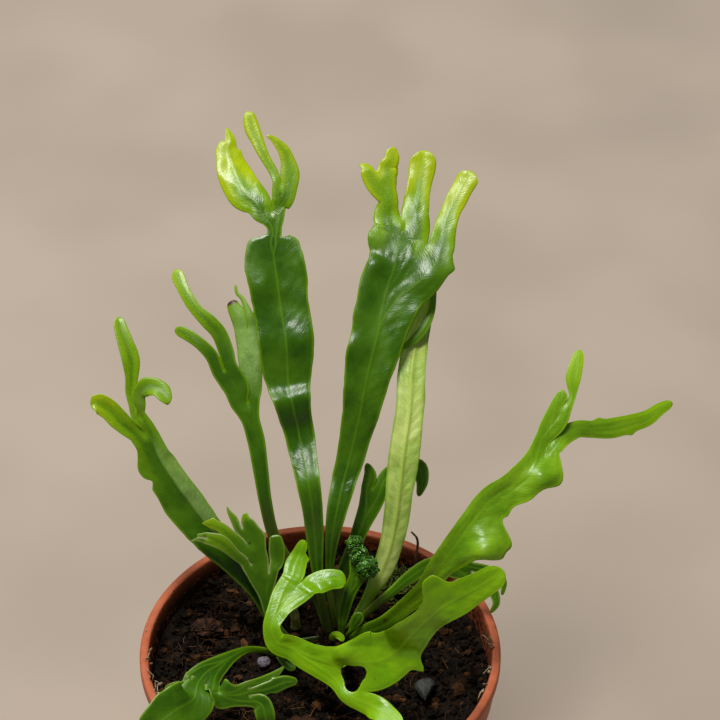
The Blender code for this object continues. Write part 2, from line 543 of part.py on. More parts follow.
def add_crests(crozier):
    for number, (right, up, forward, radius) in enumerate(CRESTS):
        crest = lumpy_ball(f"crest_{number}", (2 * radius,) * 3, CREST_LUMP, collection=CUTTERS)
        crest.location = from_fan([(right, up, forward)])[0] * MM
        union = crozier.modifiers.new("crest", "BOOLEAN")
        union.operation = "UNION"
        union.object = crest
        union.use_self = True


def make_stem(name, radius, points):
    """A round stem along the points, as a curve with closed ends."""
    curve = bpy.data.curves.new(name, "CURVE")
    curve.dimensions = "3D"
    curve.bevel_depth = radius * MM
    curve.bevel_resolution = 2
    curve.resolution_u = 3
    curve.use_fill_caps = True
    spline = curve.splines.new("NURBS")
    spline.points.add(len(points) - 1)
    for point, place in zip(spline.points, points):
        point.co = (*(c * MM for c in place), 1)
    spline.use_endpoint_u = True
    spline.order_u = 3
    piece = bpy.data.objects.new(name, curve)
    bpy.data.collections[COLLECTION].objects.link(piece)
    curve.materials.append(finish(name))


def lay_on_soil(name, x, y, length, width, height, turn, lumps):
    """A loose piece whose underside clears the soil below it by the gap."""
    piece = lumpy_ball(name, (length, width, height), lumps, rings=6, turn=math.radians(turn))
    points = np.array([vertex.co / MM for vertex in piece.data.vertices])
    ground = soil_height(points[:, 0] + x, points[:, 1] + y)
    below = points[:, 2] < 0
    lift = (ground - points[:, 2])[below].max() + GAP
    piece.location = (x * MM, y * MM, lift * MM)


def main():
    for thing in list(bpy.data.objects):
        bpy.data.objects.remove(thing, do_unlink=True)
    for name in (COLLECTION, CUTTERS):
        bpy.context.scene.collection.children.link(bpy.data.collections.new(name))
    make_pot()
    make_soil(make_crown())
    for name, tree in {**FRONDS, **LEAFLETS}.items():
        frond = make_frond(name, tree)
        if name == "frond_crozier":
            add_crests(frond)
    for name, (radius, points) in STEMS.items():
        make_stem(name, radius, points)
    for name, values in LOOSE.items():
        lay_on_soil(name, *values)


main()
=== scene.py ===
import math

import bpy
import numpy as np
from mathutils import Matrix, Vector


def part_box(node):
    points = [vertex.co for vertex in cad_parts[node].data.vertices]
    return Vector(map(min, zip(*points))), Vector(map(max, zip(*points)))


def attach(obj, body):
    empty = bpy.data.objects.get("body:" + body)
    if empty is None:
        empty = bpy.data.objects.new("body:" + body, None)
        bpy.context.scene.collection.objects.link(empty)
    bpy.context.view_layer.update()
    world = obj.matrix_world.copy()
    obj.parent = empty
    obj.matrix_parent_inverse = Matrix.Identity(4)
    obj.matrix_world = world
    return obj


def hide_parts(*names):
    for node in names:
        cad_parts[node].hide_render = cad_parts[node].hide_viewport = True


# A crested bird's nest fern in a small plastic nursery pot. Shapes are worked out in millimetres and
# turned into metres as they are put into their meshes.
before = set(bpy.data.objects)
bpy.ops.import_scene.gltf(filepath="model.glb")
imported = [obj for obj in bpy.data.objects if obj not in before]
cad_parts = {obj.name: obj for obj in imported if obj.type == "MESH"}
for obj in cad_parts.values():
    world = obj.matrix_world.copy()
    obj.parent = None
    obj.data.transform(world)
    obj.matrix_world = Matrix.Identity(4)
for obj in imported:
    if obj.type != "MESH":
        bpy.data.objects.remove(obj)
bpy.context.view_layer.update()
mm = 0.001
turn = 2 * math.pi
crownSet = 0.3  # how far the crown's origin lies below its top

potLow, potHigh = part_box("pot")
crownLow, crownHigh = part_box("crown")
rimRadius = (potHigh.x - potLow.x) / 2 / mm
potHeight = potHigh.z / mm
crownPlace = np.array([
    (crownLow.x + crownHigh.x) / 2 / mm, (crownLow.y + crownHigh.y) / 2 / mm, crownHigh.z / mm - crownSet])
print("frame: rim radius", round(rimRadius, 1), "mm, crown at", crownPlace.round(1))


# numbers and noise

latticeSize = 24


def unit(vectors):
    return vectors / np.maximum(np.linalg.norm(vectors, axis=-1, keepdims=True), 1e-9)


def ease(x):
    # 0 below 0, 1 above 1, and a smooth step 3x^2 - 2x^3 between
    x = np.clip(x, 0, 1)
    return x * x * (3 - 2 * x)


def hump(x, width=1.0):
    # a bell round 0: e to the minus square of x over the width
    return np.exp(-(x / width) ** 2)


def valueNoise(places, seed):
    # smooth random values in -1..1: the eight lattice corners round each place, blended by eased distances
    table = np.random.default_rng(seed).uniform(-1, 1, (latticeSize,) * 3)
    cell = np.floor(places).astype(int)
    x, y, z = np.moveaxis(ease(places - cell), -1, 0)
    low = np.moveaxis(cell % latticeSize, -1, 0)
    (i, j, k), (n, m, o) = low, (low + 1) % latticeSize

    def level(k):
        near = table[i, j, k] * (1 - x) + table[n, j, k] * x
        far = table[i, m, k] * (1 - x) + table[n, m, k] * x
        return near * (1 - y) + far * y

    return level(k) * (1 - z) + level(o) * z


def layeredNoise(places, seed, layers=3):
    # value noise with each finer layer half as strong and twice as dense
    return sum(valueNoise(places * 2 ** n + 5.3 * n, seed + n) / 2 ** n for n in range(layers))


# meshes

def meshOf(name, points, faces, values=None, smooth=True):
    mesh = bpy.data.meshes.new(name)
    mesh.from_pydata((np.asarray(points) * mm).tolist(), [], [list(face) for face in faces])
    for label, numbers in (values or {}).items():
        layer = mesh.attributes.new(label, "FLOAT", "POINT")
        layer.data.foreach_set("value", np.ascontiguousarray(numbers, dtype=np.float32).ravel())
    mesh.polygons.foreach_set("use_smooth", [smooth] * len(mesh.polygons))
    mesh.update()
    return mesh


def addObject(name, data):
    thing = bpy.data.objects.new(name, data)
    bpy.context.scene.collection.objects.link(thing)
    return thing


def addPiece(name, mesh, material, nodes=()):
    piece = addObject(name, mesh)
    mesh.materials.append(material)
    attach(piece, "root")
    if nodes:
        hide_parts(*nodes)
    return piece


def wrapFaces(rows, steps, first=0):
    # faces of a surface that closes round its steps, with one point for each pole: pole, rows x steps, pole
    ring = first + 1 + np.arange(rows * steps).reshape(rows, steps)
    after = np.roll(ring, -1, axis=1)
    last = first + 1 + rows * steps
    body = np.stack([ring[:-1], ring[1:], after[1:], after[:-1]], -1).reshape(-1, 4)
    top = np.stack([np.full(steps, first), ring[0], after[0]], -1)
    foot = np.stack([np.full(steps, last), after[-1], ring[-1]], -1)
    return [*top.tolist(), *body.tolist(), *foot.tolist()]


def lathe(profile, steps):
    # points of a profile of (radius, height) carried round Z; its first and last points are on the axis
    profile = np.asarray(profile, float)
    angle = np.linspace(0, turn, steps, endpoint=False)
    radius, height = profile[1:-1, :1], profile[1:-1, 1:]
    body = np.stack([radius * np.cos(angle), radius * np.sin(angle), height + 0 * angle], -1)
    return np.concatenate([[[0, 0, profile[0, 1]]], body.reshape(-1, 3), [[0, 0, profile[-1, 1]]]])


def latheFaces(profile, steps):
    return wrapFaces(len(profile) - 2, steps)


def refine(profile, step):
    # the same profile with a point at least every step of its length
    profile = np.asarray(profile, float)
    lengths = np.concatenate([[0], np.cumsum(np.linalg.norm(np.diff(profile, axis=0), axis=1))])
    at = np.unique(np.concatenate([lengths, np.linspace(0, lengths[-1], int(lengths[-1] / step) + 2)]))
    return np.stack([np.interp(at, lengths, column) for column in profile.T], -1)


def tubes(paths, radii, steps):
    # round tubes: at each point of a path (count, rows, 3) a ring stands square to the path's heading,
    # turned from a direction that no path follows
    paths = np.asarray(paths, float)
    heading = unit(np.gradient(paths, axis=1))
    aside = unit(np.cross(heading, (0.31, 0.2, 0.93)))
    across = np.cross(heading, aside)
    angle = np.linspace(0, turn, steps, endpoint=False)[:, None]
    ring = aside[:, :, None] * np.cos(angle) - across[:, :, None] * np.sin(angle)
    body = paths[:, :, None] + ring * np.asarray(radii)[..., None, None]
    count, rows = paths.shape[:2]
    points = np.concatenate([paths[:, :1], body.reshape(count, -1, 3), paths[:, -1:]], axis=1)
    faces = [face for n in range(count) for face in wrapFaces(rows, steps, n * (rows * steps + 2))]
    return points.reshape(-1, 3), faces


# materials: nodes

def feed(tree, socket, value):
    # an input takes the socket that feeds it, a number, or a colour, whose alpha is 1
    if isinstance(value, bpy.types.NodeSocket):
        tree.links.new(value, socket)
    else:
        socket.default_value = (*value, 1) if socket.type == "RGBA" else value


def addNode(tree, kind, inputs=None, **settings):
    node = tree.nodes.new(kind)
    for name, value in settings.items():
        setattr(node, name, value)
    for name, value in (inputs or {}).items():
        feed(tree, node.inputs[name], value)
    return node


def calc(tree, operation, first, second=0.0, third=0.0):
    return addNode(tree, "ShaderNodeMath", {0: first, 1: second, 2: third}, operation=operation).outputs[0]


def times(tree, first, *others):
    for other in others:
        first = calc(tree, "MULTIPLY", first, other)
    return first


def timesPlus(tree, first, second, third):
    return calc(tree, "MULTIPLY_ADD", first, second, third)


def fade(tree, value, low, high, start=0.0, end=1.0):
    # eases from start at low to end at high
    names = {"Value": value, "From Min": low, "From Max": high, "To Min": start, "To Max": end}
    return addNode(tree, "ShaderNodeMapRange", names, interpolation_type="SMOOTHSTEP").outputs["Result"]


def blendColors(tree, amount, first, second):
    return addNode(tree, "ShaderNodeMix", {0: amount, 6: first, 7: second}, data_type="RGBA").outputs[2]


def noise(tree, place, scale, detail=2.0):
    inputs = {"Vector": place, "Scale": scale, "Detail": detail}
    return addNode(tree, "ShaderNodeTexNoise", inputs).outputs["Fac"]


def cells(tree, place, scale):
    # the distance from the nearest of many scattered points
    return addNode(tree, "ShaderNodeTexVoronoi", {"Vector": place, "Scale": scale}).outputs["Distance"]


def newGroup(name, inputs, outputs):
    # a shader node group; inputs are {name: default value} and outputs {name: kind}
    group = bpy.data.node_groups.new(name, "ShaderNodeTree")
    kinds = {float: "NodeSocketFloat", tuple: "NodeSocketColor", str: "NodeSocketVector"}
    for label, value in inputs.items():
        socket = group.interface.new_socket(label, in_out="INPUT", socket_type=kinds[type(value)])
        if not isinstance(value, str):
            socket.default_value = (*value, 1) if isinstance(value, tuple) else value
    for label, kind in outputs.items():
        group.interface.new_socket(label, in_out="OUTPUT", socket_type=kinds[kind])
    return group, group.nodes.new("NodeGroupInput").outputs, group.nodes.new("NodeGroupOutput").inputs


def newMaterial(name, **constants):
    # a Principled material whose constant sockets are set directly
    material = bpy.data.materials.new(name)
    material.use_nodes = True
    shader = material.node_tree.nodes["Principled BSDF"]
    for label, value in constants.items():
        shader.inputs[label].default_value = value
    return material, material.node_tree, shader


def finish(tree, shader, color, rough, height, bump):
    # colour, roughness and a bump of the given depth in metres
    tree.links.new(color, shader.inputs["Base Color"])
    tree.links.new(rough, shader.inputs["Roughness"])
    bumps = addNode(tree, "ShaderNodeBump", {"Height": height, "Distance": bump, "Strength": 1.0})
    tree.links.new(bumps.outputs["Normal"], shader.inputs["Normal"])


def objectPlace(tree):
    return addNode(tree, "ShaderNodeTexCoord").outputs["Object"]


def readValue(tree, label):
    return addNode(tree, "ShaderNodeAttribute", attribute_name=label).outputs["Fac"]


# leaf tissue

tissue = {
    "mottleScale": 160.0, "grainScale": 1900.0, "spotScale": 420.0,
    "streaksAcross": 3.6, "streaksAlong": 1.1, "underStreaks": 7.0,
    "withered": (0.72, 0.66, 0.42), "spot": (0.1, 0.06, 0.015), "dead": (0.07, 0.02, 0.012),
    "rough": 0.24, "roughSpread": 0.1, "roughUnder": 0.15, "bump": 0.00004,
}
leafValues = ("Rib", "Edge", "Vein", "Youth", "Under", "Scar", "Stalk", "Dead")
leafColors = ("Deep", "Light", "Fresh", "YoungGlow", "Pale", "Rib Color", "Foot")
leafLooks = {  # the leaf colours in that order, and how much the streaks show
    # the green look's pale colour is the underside's, and on the long left frond partly a painted sheen
    "green": ((0.026, 0.1, 0.0002), (0.085, 0.225, 0.0004), (0.2, 0.38, 0.001), (0.42, 0.55, 0.002),
              (0.3, 0.5, 0.12), (0.14, 0.32, 0.005), (0.05, 0.032, 0.012), 0.2),
    "bright": ((0.15, 0.37, 0.001), (0.3, 0.56, 0.002), (0.28, 0.52, 0.002), (0.4, 0.58, 0.002),
               (0.26, 0.46, 0.05), (0.28, 0.55, 0.01), (0.1, 0.24, 0.003), 0.2),
    "strap": ((0.12, 0.3, 0.003), (0.27, 0.5, 0.01), (0.28, 0.52, 0.002), (0.4, 0.58, 0.002),
              (0.26, 0.46, 0.05), (0.2, 0.44, 0.005), (0.08, 0.2, 0.003), 0.4),
    "under": ((0.2, 0.46, 0.005), (0.44, 0.68, 0.03), (0.2, 0.4, 0.01), (0.14, 0.32, 0.005),
              (0.68, 0.78, 0.24), (0.55, 0.68, 0.05), (0.28, 0.56, 0.01), 0.5),
}


def makeLeafTissue():
    # The colour of a fern blade: a mottled and streaked green with a midrib and a light margin, fresh and
    # then yellow with youth, paler underneath, with straw-coloured withered edges in the clefts. The light
    # margin and the fresh and yellow tints are partly the tissue's own colour and partly painted glow of
    # light shining through the blade; the pale band of the long left frond is partly a painted sheen.
    greens = dict(zip(leafColors, leafLooks["green"]))
    group, given, out = newGroup(
        "leafTissue", {"Place": "", **{label: 0.0 for label in leafValues}, **greens, "Streaks": 0.5},
        {"Color": tuple, "Roughness": float, "Height": float})
    rib, edge, under, stalk, scar = (given[label] for label in ("Rib", "Edge", "Under", "Stalk", "Scar"))
    place = given["Place"]
    mottle = noise(group, place, tissue["mottleScale"], 3.0)
    grain = noise(group, place, tissue["grainScale"])
    # streaks run along the veins: fine across them, long beside them
    streakPlace = addNode(group, "ShaderNodeCombineXYZ", {
        "X": times(group, given["Vein"], tissue["streaksAcross"]),
        "Y": times(group, rib, tissue["streaksAlong"]),
        "Z": times(group, under, tissue["underStreaks"])}).outputs[0]
    streak = noise(group, streakPlace, 1.0)
    shade = timesPlus(group, fade(group, streak, 0.3, 0.7), given["Streaks"], fade(group, mottle, 0.3, 0.72))
    color = blendColors(group, times(group, shade, 0.7), given["Deep"], given["Light"])
    blotches = fade(group, mottle, 0.35, 0.65, 0.3, 0.65)
    patches = timesPlus(group, fade(group, streak, 0.3, 0.75), 0.35, blotches)
    # paler where the underside shows; the long left frond's pale band is partly a painted sheen
    color = blendColors(group, times(group, patches, under), color, given["Pale"])
    ribMask = times(group, fade(group, rib, 0.06, 0.28, 0.45, 0.0), fade(group, edge, 0.2, 0.7))
    color = blendColors(group, ribMask, color, given["Rib Color"])
    # with youth the green turns fresh and then yellow, first towards the margins and last beside the midrib;
    # these tints are partly the young tissue's colour and partly painted glow of light shining through it
    # the light margin is partly painted glow of light shining through the thin edge
    marginGlow = fade(group, edge, 0.08, 0.5, 0.65, 0.0)
    outer = fade(group, calc(group, "SUBTRACT", rib, edge), -1.6, 0.8, -0.16, 0.16)
    uneven = calc(group, "ADD", outer, fade(group, streak, 0.25, 0.75, 0.08, -0.1))
    uneven = times(group, uneven, fade(group, given["Youth"], 0.05, 0.4))
    youth = calc(group, "ADD", given["Youth"], uneven)
    freshAndGlow = calc(group, "MAXIMUM", fade(group, youth, 0.05, 0.5), marginGlow)
    color = blendColors(group, freshAndGlow, color, given["Fresh"])
    color = blendColors(group, fade(group, stalk, 0.8, 1.0, 0.0, 0.6), color, given["Foot"])
    # the yellow of youth is partly painted glow of light shining through the young blade
    color = blendColors(group, fade(group, youth, 0.45, 0.95), color, given["YoungGlow"])
    scarMask = times(group, scar, fade(group, grain, 0.3, 0.6, 0.6, 1.0))
    color = blendColors(group, scarMask, color, tissue["withered"])
    spots = fade(group, noise(group, place, tissue["spotScale"]), 0.74, 0.78)
    color = blendColors(group, times(group, spots, 0.6), color, tissue["spot"])
    color = blendColors(group, given["Dead"], color, tissue["dead"])
    group.links.new(color, out["Color"])
    rough = timesPlus(group, fade(group, mottle, 0.3, 0.7), tissue["roughSpread"], tissue["rough"])
    rough = timesPlus(group, calc(group, "MAXIMUM", under, scar), tissue["roughUnder"], rough)
    group.links.new(rough, out["Roughness"])
    veins = times(group, streak, calc(group, "SUBTRACT", 1.0, stalk))
    group.links.new(timesPlus(group, grain, 0.25, veins), out["Height"])
    return group


leafTissue = makeLeafTissue()


def makeLeafMaterial(look):
    material, tree, shader = newMaterial(f"{look}Leaf", **{
        "Specular IOR Level": 0.4, "Subsurface Weight": 0.1, "Subsurface Scale": 0.0006,
        "Subsurface Radius": (0.6, 0.8, 0.1)})
    found = addNode(tree, "ShaderNodeGroup", {
        "Place": objectPlace(tree), **{label: readValue(tree, label.lower()) for label in leafValues},
        **dict(zip((*leafColors, "Streaks"), leafLooks[look]))}, node_tree=leafTissue).outputs
    finish(tree, shader, found["Color"], found["Roughness"], found["Height"], tissue["bump"])
    return material


leafMaterials = {look: makeLeafMaterial(look) for look in leafLooks}


# fronds

blade = {
    "lean": 40, "bow": 4.5, "bowSpan": 70,  # how the fan of fronds leans back, in degrees, and bows forward
    "rowStep": 0.4, "columns": 40, "tip": 1.6, "leastHalf": 0.02,
    "swayLength": 4.2, "crenateLength": 1.1, "lamina": 0.15, "stalkHalf": 0.42,
    "ridges": ((0.04, 0.26), (0.28, 0.36)),  # the midrib's height and breadth over and under the blade
    "veinSlope": 0.8, "veinPitch": 2.1, "dents": 0.16, "jointReach": 1.8, "paleRim": 0.12,
    "swaySeed": 3, "crenateSeed": 4, "driftSeed": 21, "ruffleSeed": 22, "dentSeed": 23, "puckerSeed": 24,
}
frondStyle = {
    "face": (0, 0, 1), "roll": (0, 0), "sway": 0.05, "crenate": 0.02, "keel": 0.06,
    "quilt": 0.016, "pucker": 0.1, "ruffle": 0.25, "ruffleLength": 7.0, "youth": (0.8, 1.1), "youthMost": 1.0,
    "stalk": 14.0, "scar": 0.0, "scarReach": 1.8, "ribLine": 1.0, "columns": blade["columns"],
}
farOff = 99.0  # stands for the distance from something that a strip doesn't have


def ribbon(*stations, **more):
    # a strip of blade: each station is (right, up the fan, forward, half width) from the crown
    return dict(stations=list(stations), **more)


def fork(low, high, *stations, **more):
    # a branch that takes the share low..high of its parent's width, counted from the branch's left edge
    return dict(share=(low, high), stations=list(stations), **more)


def curveThrough(stations, at, startSlope):
    # values and slopes, at the lengths 'at', of a smooth curve through the stations: between two of them
    # a cubic with the values and the averaged slopes of both
    steps = np.linalg.norm(np.diff(stations[:, :3], axis=0), axis=1)
    knots = np.concatenate([[0], np.cumsum(steps)])
    runs = np.diff(stations, axis=0) / steps[:, None]
    before, after = steps[:-1, None], steps[1:, None]
    slopes = np.concatenate([runs[:1], (runs[:-1] * after + runs[1:] * before) / (before + after), runs[-1:]])
    if startSlope is not None:
        slopes[0, :3] = startSlope
    part = np.clip(np.searchsorted(knots, at, side="right") - 1, 0, len(steps) - 1)
    span = steps[part][..., None]
    x = ((at - knots[part]) / steps[part])[..., None]
    start, end = stations[part], stations[part + 1]
    out, into = slopes[part] * span, slopes[part + 1] * span
    values = (2 * x**3 - 3 * x**2 + 1) * start + (x**3 - 2 * x**2 + x) * out
    values = values + (3 * x**2 - 2 * x**3) * end + (x**3 - x**2) * into
    values[..., 3] = np.clip(values[..., 3], np.minimum(start, end)[..., 3], np.maximum(start, end)[..., 3])
    rates = (6 * x**2 - 6 * x) * (start - end) + (3 * x**2 - 4 * x + 1) * out + (3 * x**2 - 2 * x) * into
    return values, rates / span


def waveMargins(strip, width, flat, start, total, seed):
    # the half width with long sways, different on the two sides, small crenations where the blade is
    # broad, and single swellings or bites
    leftRight = np.where(flat > 0, 1.0, 0.0)
    swayPlace = np.stack([total / blade["swayLength"], leftRight * 5.5, total * 0 + seed], -1)
    crenatePlace = np.stack([total / blade["crenateLength"], leftRight * 3.5, total * 0 + seed + 4], -1)
    broad = ease((width[..., 0] - 0.8) / 1.6)
    sways = strip["sway"] * valueNoise(swayPlace, blade["swaySeed"])
    sway = 1 + broad * (sways + strip["crenate"] * valueNoise(crenatePlace, blade["crenateSeed"]))
    width = width * (1 + (sway - 1) * flat**2)[..., None]
    for onSide, at, amount, spread in strip.get("bumps", []):
        bump = amount * hump(start - at, spread) * np.where(flat * onSide > 0, flat**2, 0)
        width = width + bump[..., None]
    return width


def bladeGrid(strip, columns, join, seed):
    # One strip as rows of columns + 1 points: the curve gives the middle and the half width, each point
    # stands off it sideways, and forward with its distance from the midrib, which folds the blade into a
    # shallow V. A strip that has no fork closes in a round tip.
    stations = np.array(strip["stations"], float)
    if join:
        row = join["row"]
        half = np.linalg.norm(row[-1] - row[0]) / 2
        stations = np.vstack([[*((row[0] + row[-1]) / 2), half], stations])
    length = np.linalg.norm(np.diff(stations[:, :3], axis=0), axis=1).sum()
    rows = max(6, round(length / blade["rowStep"]))
    flat = np.broadcast_to(np.linspace(-1, 1, columns + 1), (rows + 1, columns + 1))
    start = np.linspace(0, length, rows + 1)[:, None] + 0 * flat
    along, across = start, flat
    if not strip.get("forks"):
        tip = min(strip.get("tip", blade["tip"]) * stations[-1, 3], 0.6 * length)
        u = np.clip((start - (length - tip)) / tip, 0, 1)
        along = np.where(u > 0, length - tip + tip * u * np.sqrt(1 - flat**2 / 2), start)
        across = flat * np.sqrt(1 - u**2 / 2)
    place, rate = curveThrough(stations, along, join["heading"] if join else None)
    heading = unit(rate[..., :3])
    side = unit(np.cross(heading, strip["face"]))
    up = np.cross(side, heading)
    lowRoll, highRoll = strip["roll"]
    roll = np.radians(lowRoll + (highRoll - lowRoll) * along / length)[..., None]
    side = np.cos(roll) * side - np.sin(roll) * up
    if join:  # turns from the parent's side to its own
        turned = ease(along / (2.5 * half))[..., None]
        side = unit(side * turned + join["side"] * (1 - turned))
        side = unit(side - heading * (side * heading).sum(-1, keepdims=True))
    up = np.cross(side, heading)
    total = start + (join["total"] if join else 0)
    width = waveMargins(strip, np.maximum(place[..., 3:4], blade["leastHalf"]), flat, start, total, seed)
    offset = across[..., None]
    fold = strip["keel"] * width * (np.sqrt(offset**2 + 0.03) - 0.45)
    points = place[..., :3] + side * width * offset + up * fold
    for onSide, at, rise, spread in strip.get("shoulders", []):  # a margin, or both, runs ahead of the middle
        ahead = np.where(flat * onSide >= 0, rise * flat**2, 0) * hump(start - at, spread)
        points = points + heading * ahead[..., None]
    for at, aside, rise, spread in strip.get("swells", []):  # a low rounded swelling of the blade
        far = ((start - at) ** 2 + (offset[..., 0] * width[..., 0] - aside) ** 2) / spread**2
        points = points + up * (rise * np.exp(-far))[..., None]
    gone, clear = np.zeros(flat.shape, bool), np.full(flat.shape, farOff)
    for at, aside, size in strip.get("holes", []):
        # a rounded three-cornered hole: the points in it are moved out to its edge along their bearing
        ahead, beside = start - at, offset[..., 0] * width[..., 0] - aside
        far = np.maximum(np.hypot(ahead, beside), 0.05)
        rim = size * (1 + 0.18 * np.cos(3 * np.arctan2(beside, ahead) + 1.8))
        push = np.maximum(rim / far - 1, 0)[..., None]
        points = points + (heading * ahead[..., None] + side * beside[..., None]) * push
        gone, clear = gone | (far < rim), np.minimum(clear, np.maximum(far - rim, 0))
    if join:
        points = points + (row - points[:1]) * (1 - ease(start[:, :1] / (2 * half)))[..., None]
    facts = bladeFacts(strip, join, stations, flat, width[..., 0], start, length, clear)
    return points, side, heading[:, columns // 2], {**facts, "total": total, "gone": gone}


def bladeFacts(strip, join, stations, flat, reach, start, length, clear):
    # what each point lies near, in mm: the midrib (which parts towards each branch), the margin, a cleft
    # and a joint; and how far it is turned pale side up, dead or fresh
    forked = bool(strip.get("forks"))
    edge = np.minimum((1 - np.abs(flat)) * reach, farOff if forked else length - start)
    edge = np.minimum(edge, clear)
    rib = np.abs(flat) * reach
    notch = np.full(rib.shape, farOff)
    ahead = ("forks", stations[-1, 3], flat, length - start)
    behind = ("back", stations[0, 3], -flat, start)
    for ends, half, across, left in (ahead, behind):
        shares = [branch["share"] for branch in strip.get(ends, [])]
        if shares:
            parting = 1 - ease(left / (2.6 * half))
            middles = [(low + high - 1) * parting for low, high in shares]
            parted = np.min([np.abs(across - middle) * reach for middle in middles], axis=0)
            rib = parted if ends == "forks" else np.where(parting > 0, parted, rib)
        for low, _ in shares[1:]:
            away = np.hypot(left, (across - (2 * low - 1)) * reach)
            edge, notch = np.minimum(edge, away), np.minimum(notch, away)
    if join:
        low, high = join["share"]
        for inner, distance in ((low > 0, (1 + flat) * reach), (high < 1, (1 - flat) * reach)):
            if inner:
                notch = np.minimum(notch, np.hypot(start, distance) + np.maximum(0, distance - 0.5) * 2)
    # the pale part is coloured as the underside; on the long left frond's main strip it is partly a painted
    # sheen
    low, high = strip.get("pale", (2, 3))
    pale = ease((flat - low) / blade["paleRim"] + 1) * ease((high - flat) / blade["paleRim"] + 1)
    pale = pale * ease(start / strip.get("paleFade", 0.01))
    if "paleEnd" in strip:
        pale = pale * ease((length - start) / strip["paleEnd"])
    fromStart = start if join or strip.get("back") else farOff
    return {
        "joint": np.minimum(fromStart, length - start if forked else np.full(start.shape, farOff)),
        "rib": rib, "edge": edge, "notch": notch, "right": np.sign(flat), "pale": pale,
        "dead": ease((start - length) / 0.5 + strip.get("dead", 0) / 0.5),
        "fresh": strip.get("fresh", 0) * ease(start / length)}


def growSheet(tree, columns, seed):
    # the open sheet of a whole frond: each branch grows from its share of its parent's last row, or, for
    # a branch at the back, from its share of the first row, which it meets heading the other way
    points, quads, facts, count = [], [], [], 0
    waiting = [(tree, columns, None)]
    while waiting:
        strip, wide, join = waiting.pop(0)
        grid, side, heading, found = bladeGrid(strip, wide, join, seed + 13.7 * len(points))
        numbers = np.empty(grid.shape[:2], int)
        first = 1 if join else 0
        if join:
            numbers[0] = join["numbers"]
        added = (len(grid) - first) * (wide + 1)
        numbers[first:] = count + np.arange(added).reshape(-1, wide + 1)
        count += added
        points.append(grid[first:].reshape(-1, 3))
        facts.append({label: value[first:].ravel() for label, value in found.items()})
        corners = (numbers[:-1, :-1], numbers[:-1, 1:], numbers[1:, 1:], numbers[1:, :-1])
        quads.append(np.stack(corners, -1).reshape(-1, 4))
        for ends, way in (("forks", 1), ("back", -1)):
            row = -1 if way > 0 else 0
            for branch in strip.get(ends, []):
                low, high = (round(share * wide) for share in branch["share"])
                child = {**{label: strip[label] for label in ("face", "sway", "crenate", "keel")},
                         "roll": (strip["roll"][row],) * 2, **branch}
                waiting.append((child, high - low, {
                    "row": grid[row, ::way][low:high + 1], "numbers": numbers[row, ::way][low:high + 1],
                    "side": side[row, ::way][(low + high) // 2] * way, "heading": heading[row] * way,
                    "total": found["total"][row, 0], "share": branch["share"]}))
    joined = {label: np.concatenate([found[label] for found in facts]) for label in facts[0]}
    points, quads = np.concatenate(points), np.concatenate(quads)
    kept = quads[~joined["gone"][quads].all(axis=1)]  # the holes left out
    used, quads = np.unique(kept, return_inverse=True)
    return points[used], quads.reshape(-1, 4), {label: value[used] for label, value in joined.items()}


def fromFan(points):
    # places in the pot's frame of points given as (right, up the fan, forward) from the crown
    right, up, forward = np.asarray(points, float).T
    forward = forward + blade["bow"] * np.sin(np.pi * np.maximum(up, 0) / blade["bowSpan"])
    lean, rise = math.sin(math.radians(blade["lean"])), math.cos(math.radians(blade["lean"]))
    return crownPlace + np.stack([right, up * lean - forward * rise, up * rise + forward * lean], -1)


def sheetNormals(points, quads):
    # each point's normal is the sum of the normals of the faces round it
    a, b, c, d = (points[quads[:, n]] for n in range(4))
    faceNormals = np.cross(c - a, d - b)
    normals = np.zeros_like(points)
    for n in range(4):
        np.add.at(normals, quads[:, n], faceNormals)
    return unit(normals)


def thicken(points, quads, over, under):
    # two sheets, raised by 'over' and lowered by 'under' along the normals, and a strip round their edge
    normals = sheetNormals(points, quads)
    count = len(points)
    over, under = (np.broadcast_to(amount, count)[:, None] for amount in (over, under))
    both = np.concatenate([points + normals * over, points - normals * under])
    sides = np.concatenate([quads[:, [n, (n + 1) % 4]] for n in range(4)])
    keys = np.sort(sides, axis=1) @ np.array([count, 1])
    _, place, uses = np.unique(keys, return_index=True, return_counts=True)
    rim = sides[place[uses == 1]]
    wall = np.stack([rim[:, 1], rim[:, 0], rim[:, 0] + count, rim[:, 1] + count], -1)
    return both, np.concatenate([quads, quads[:, ::-1] + count, wall])


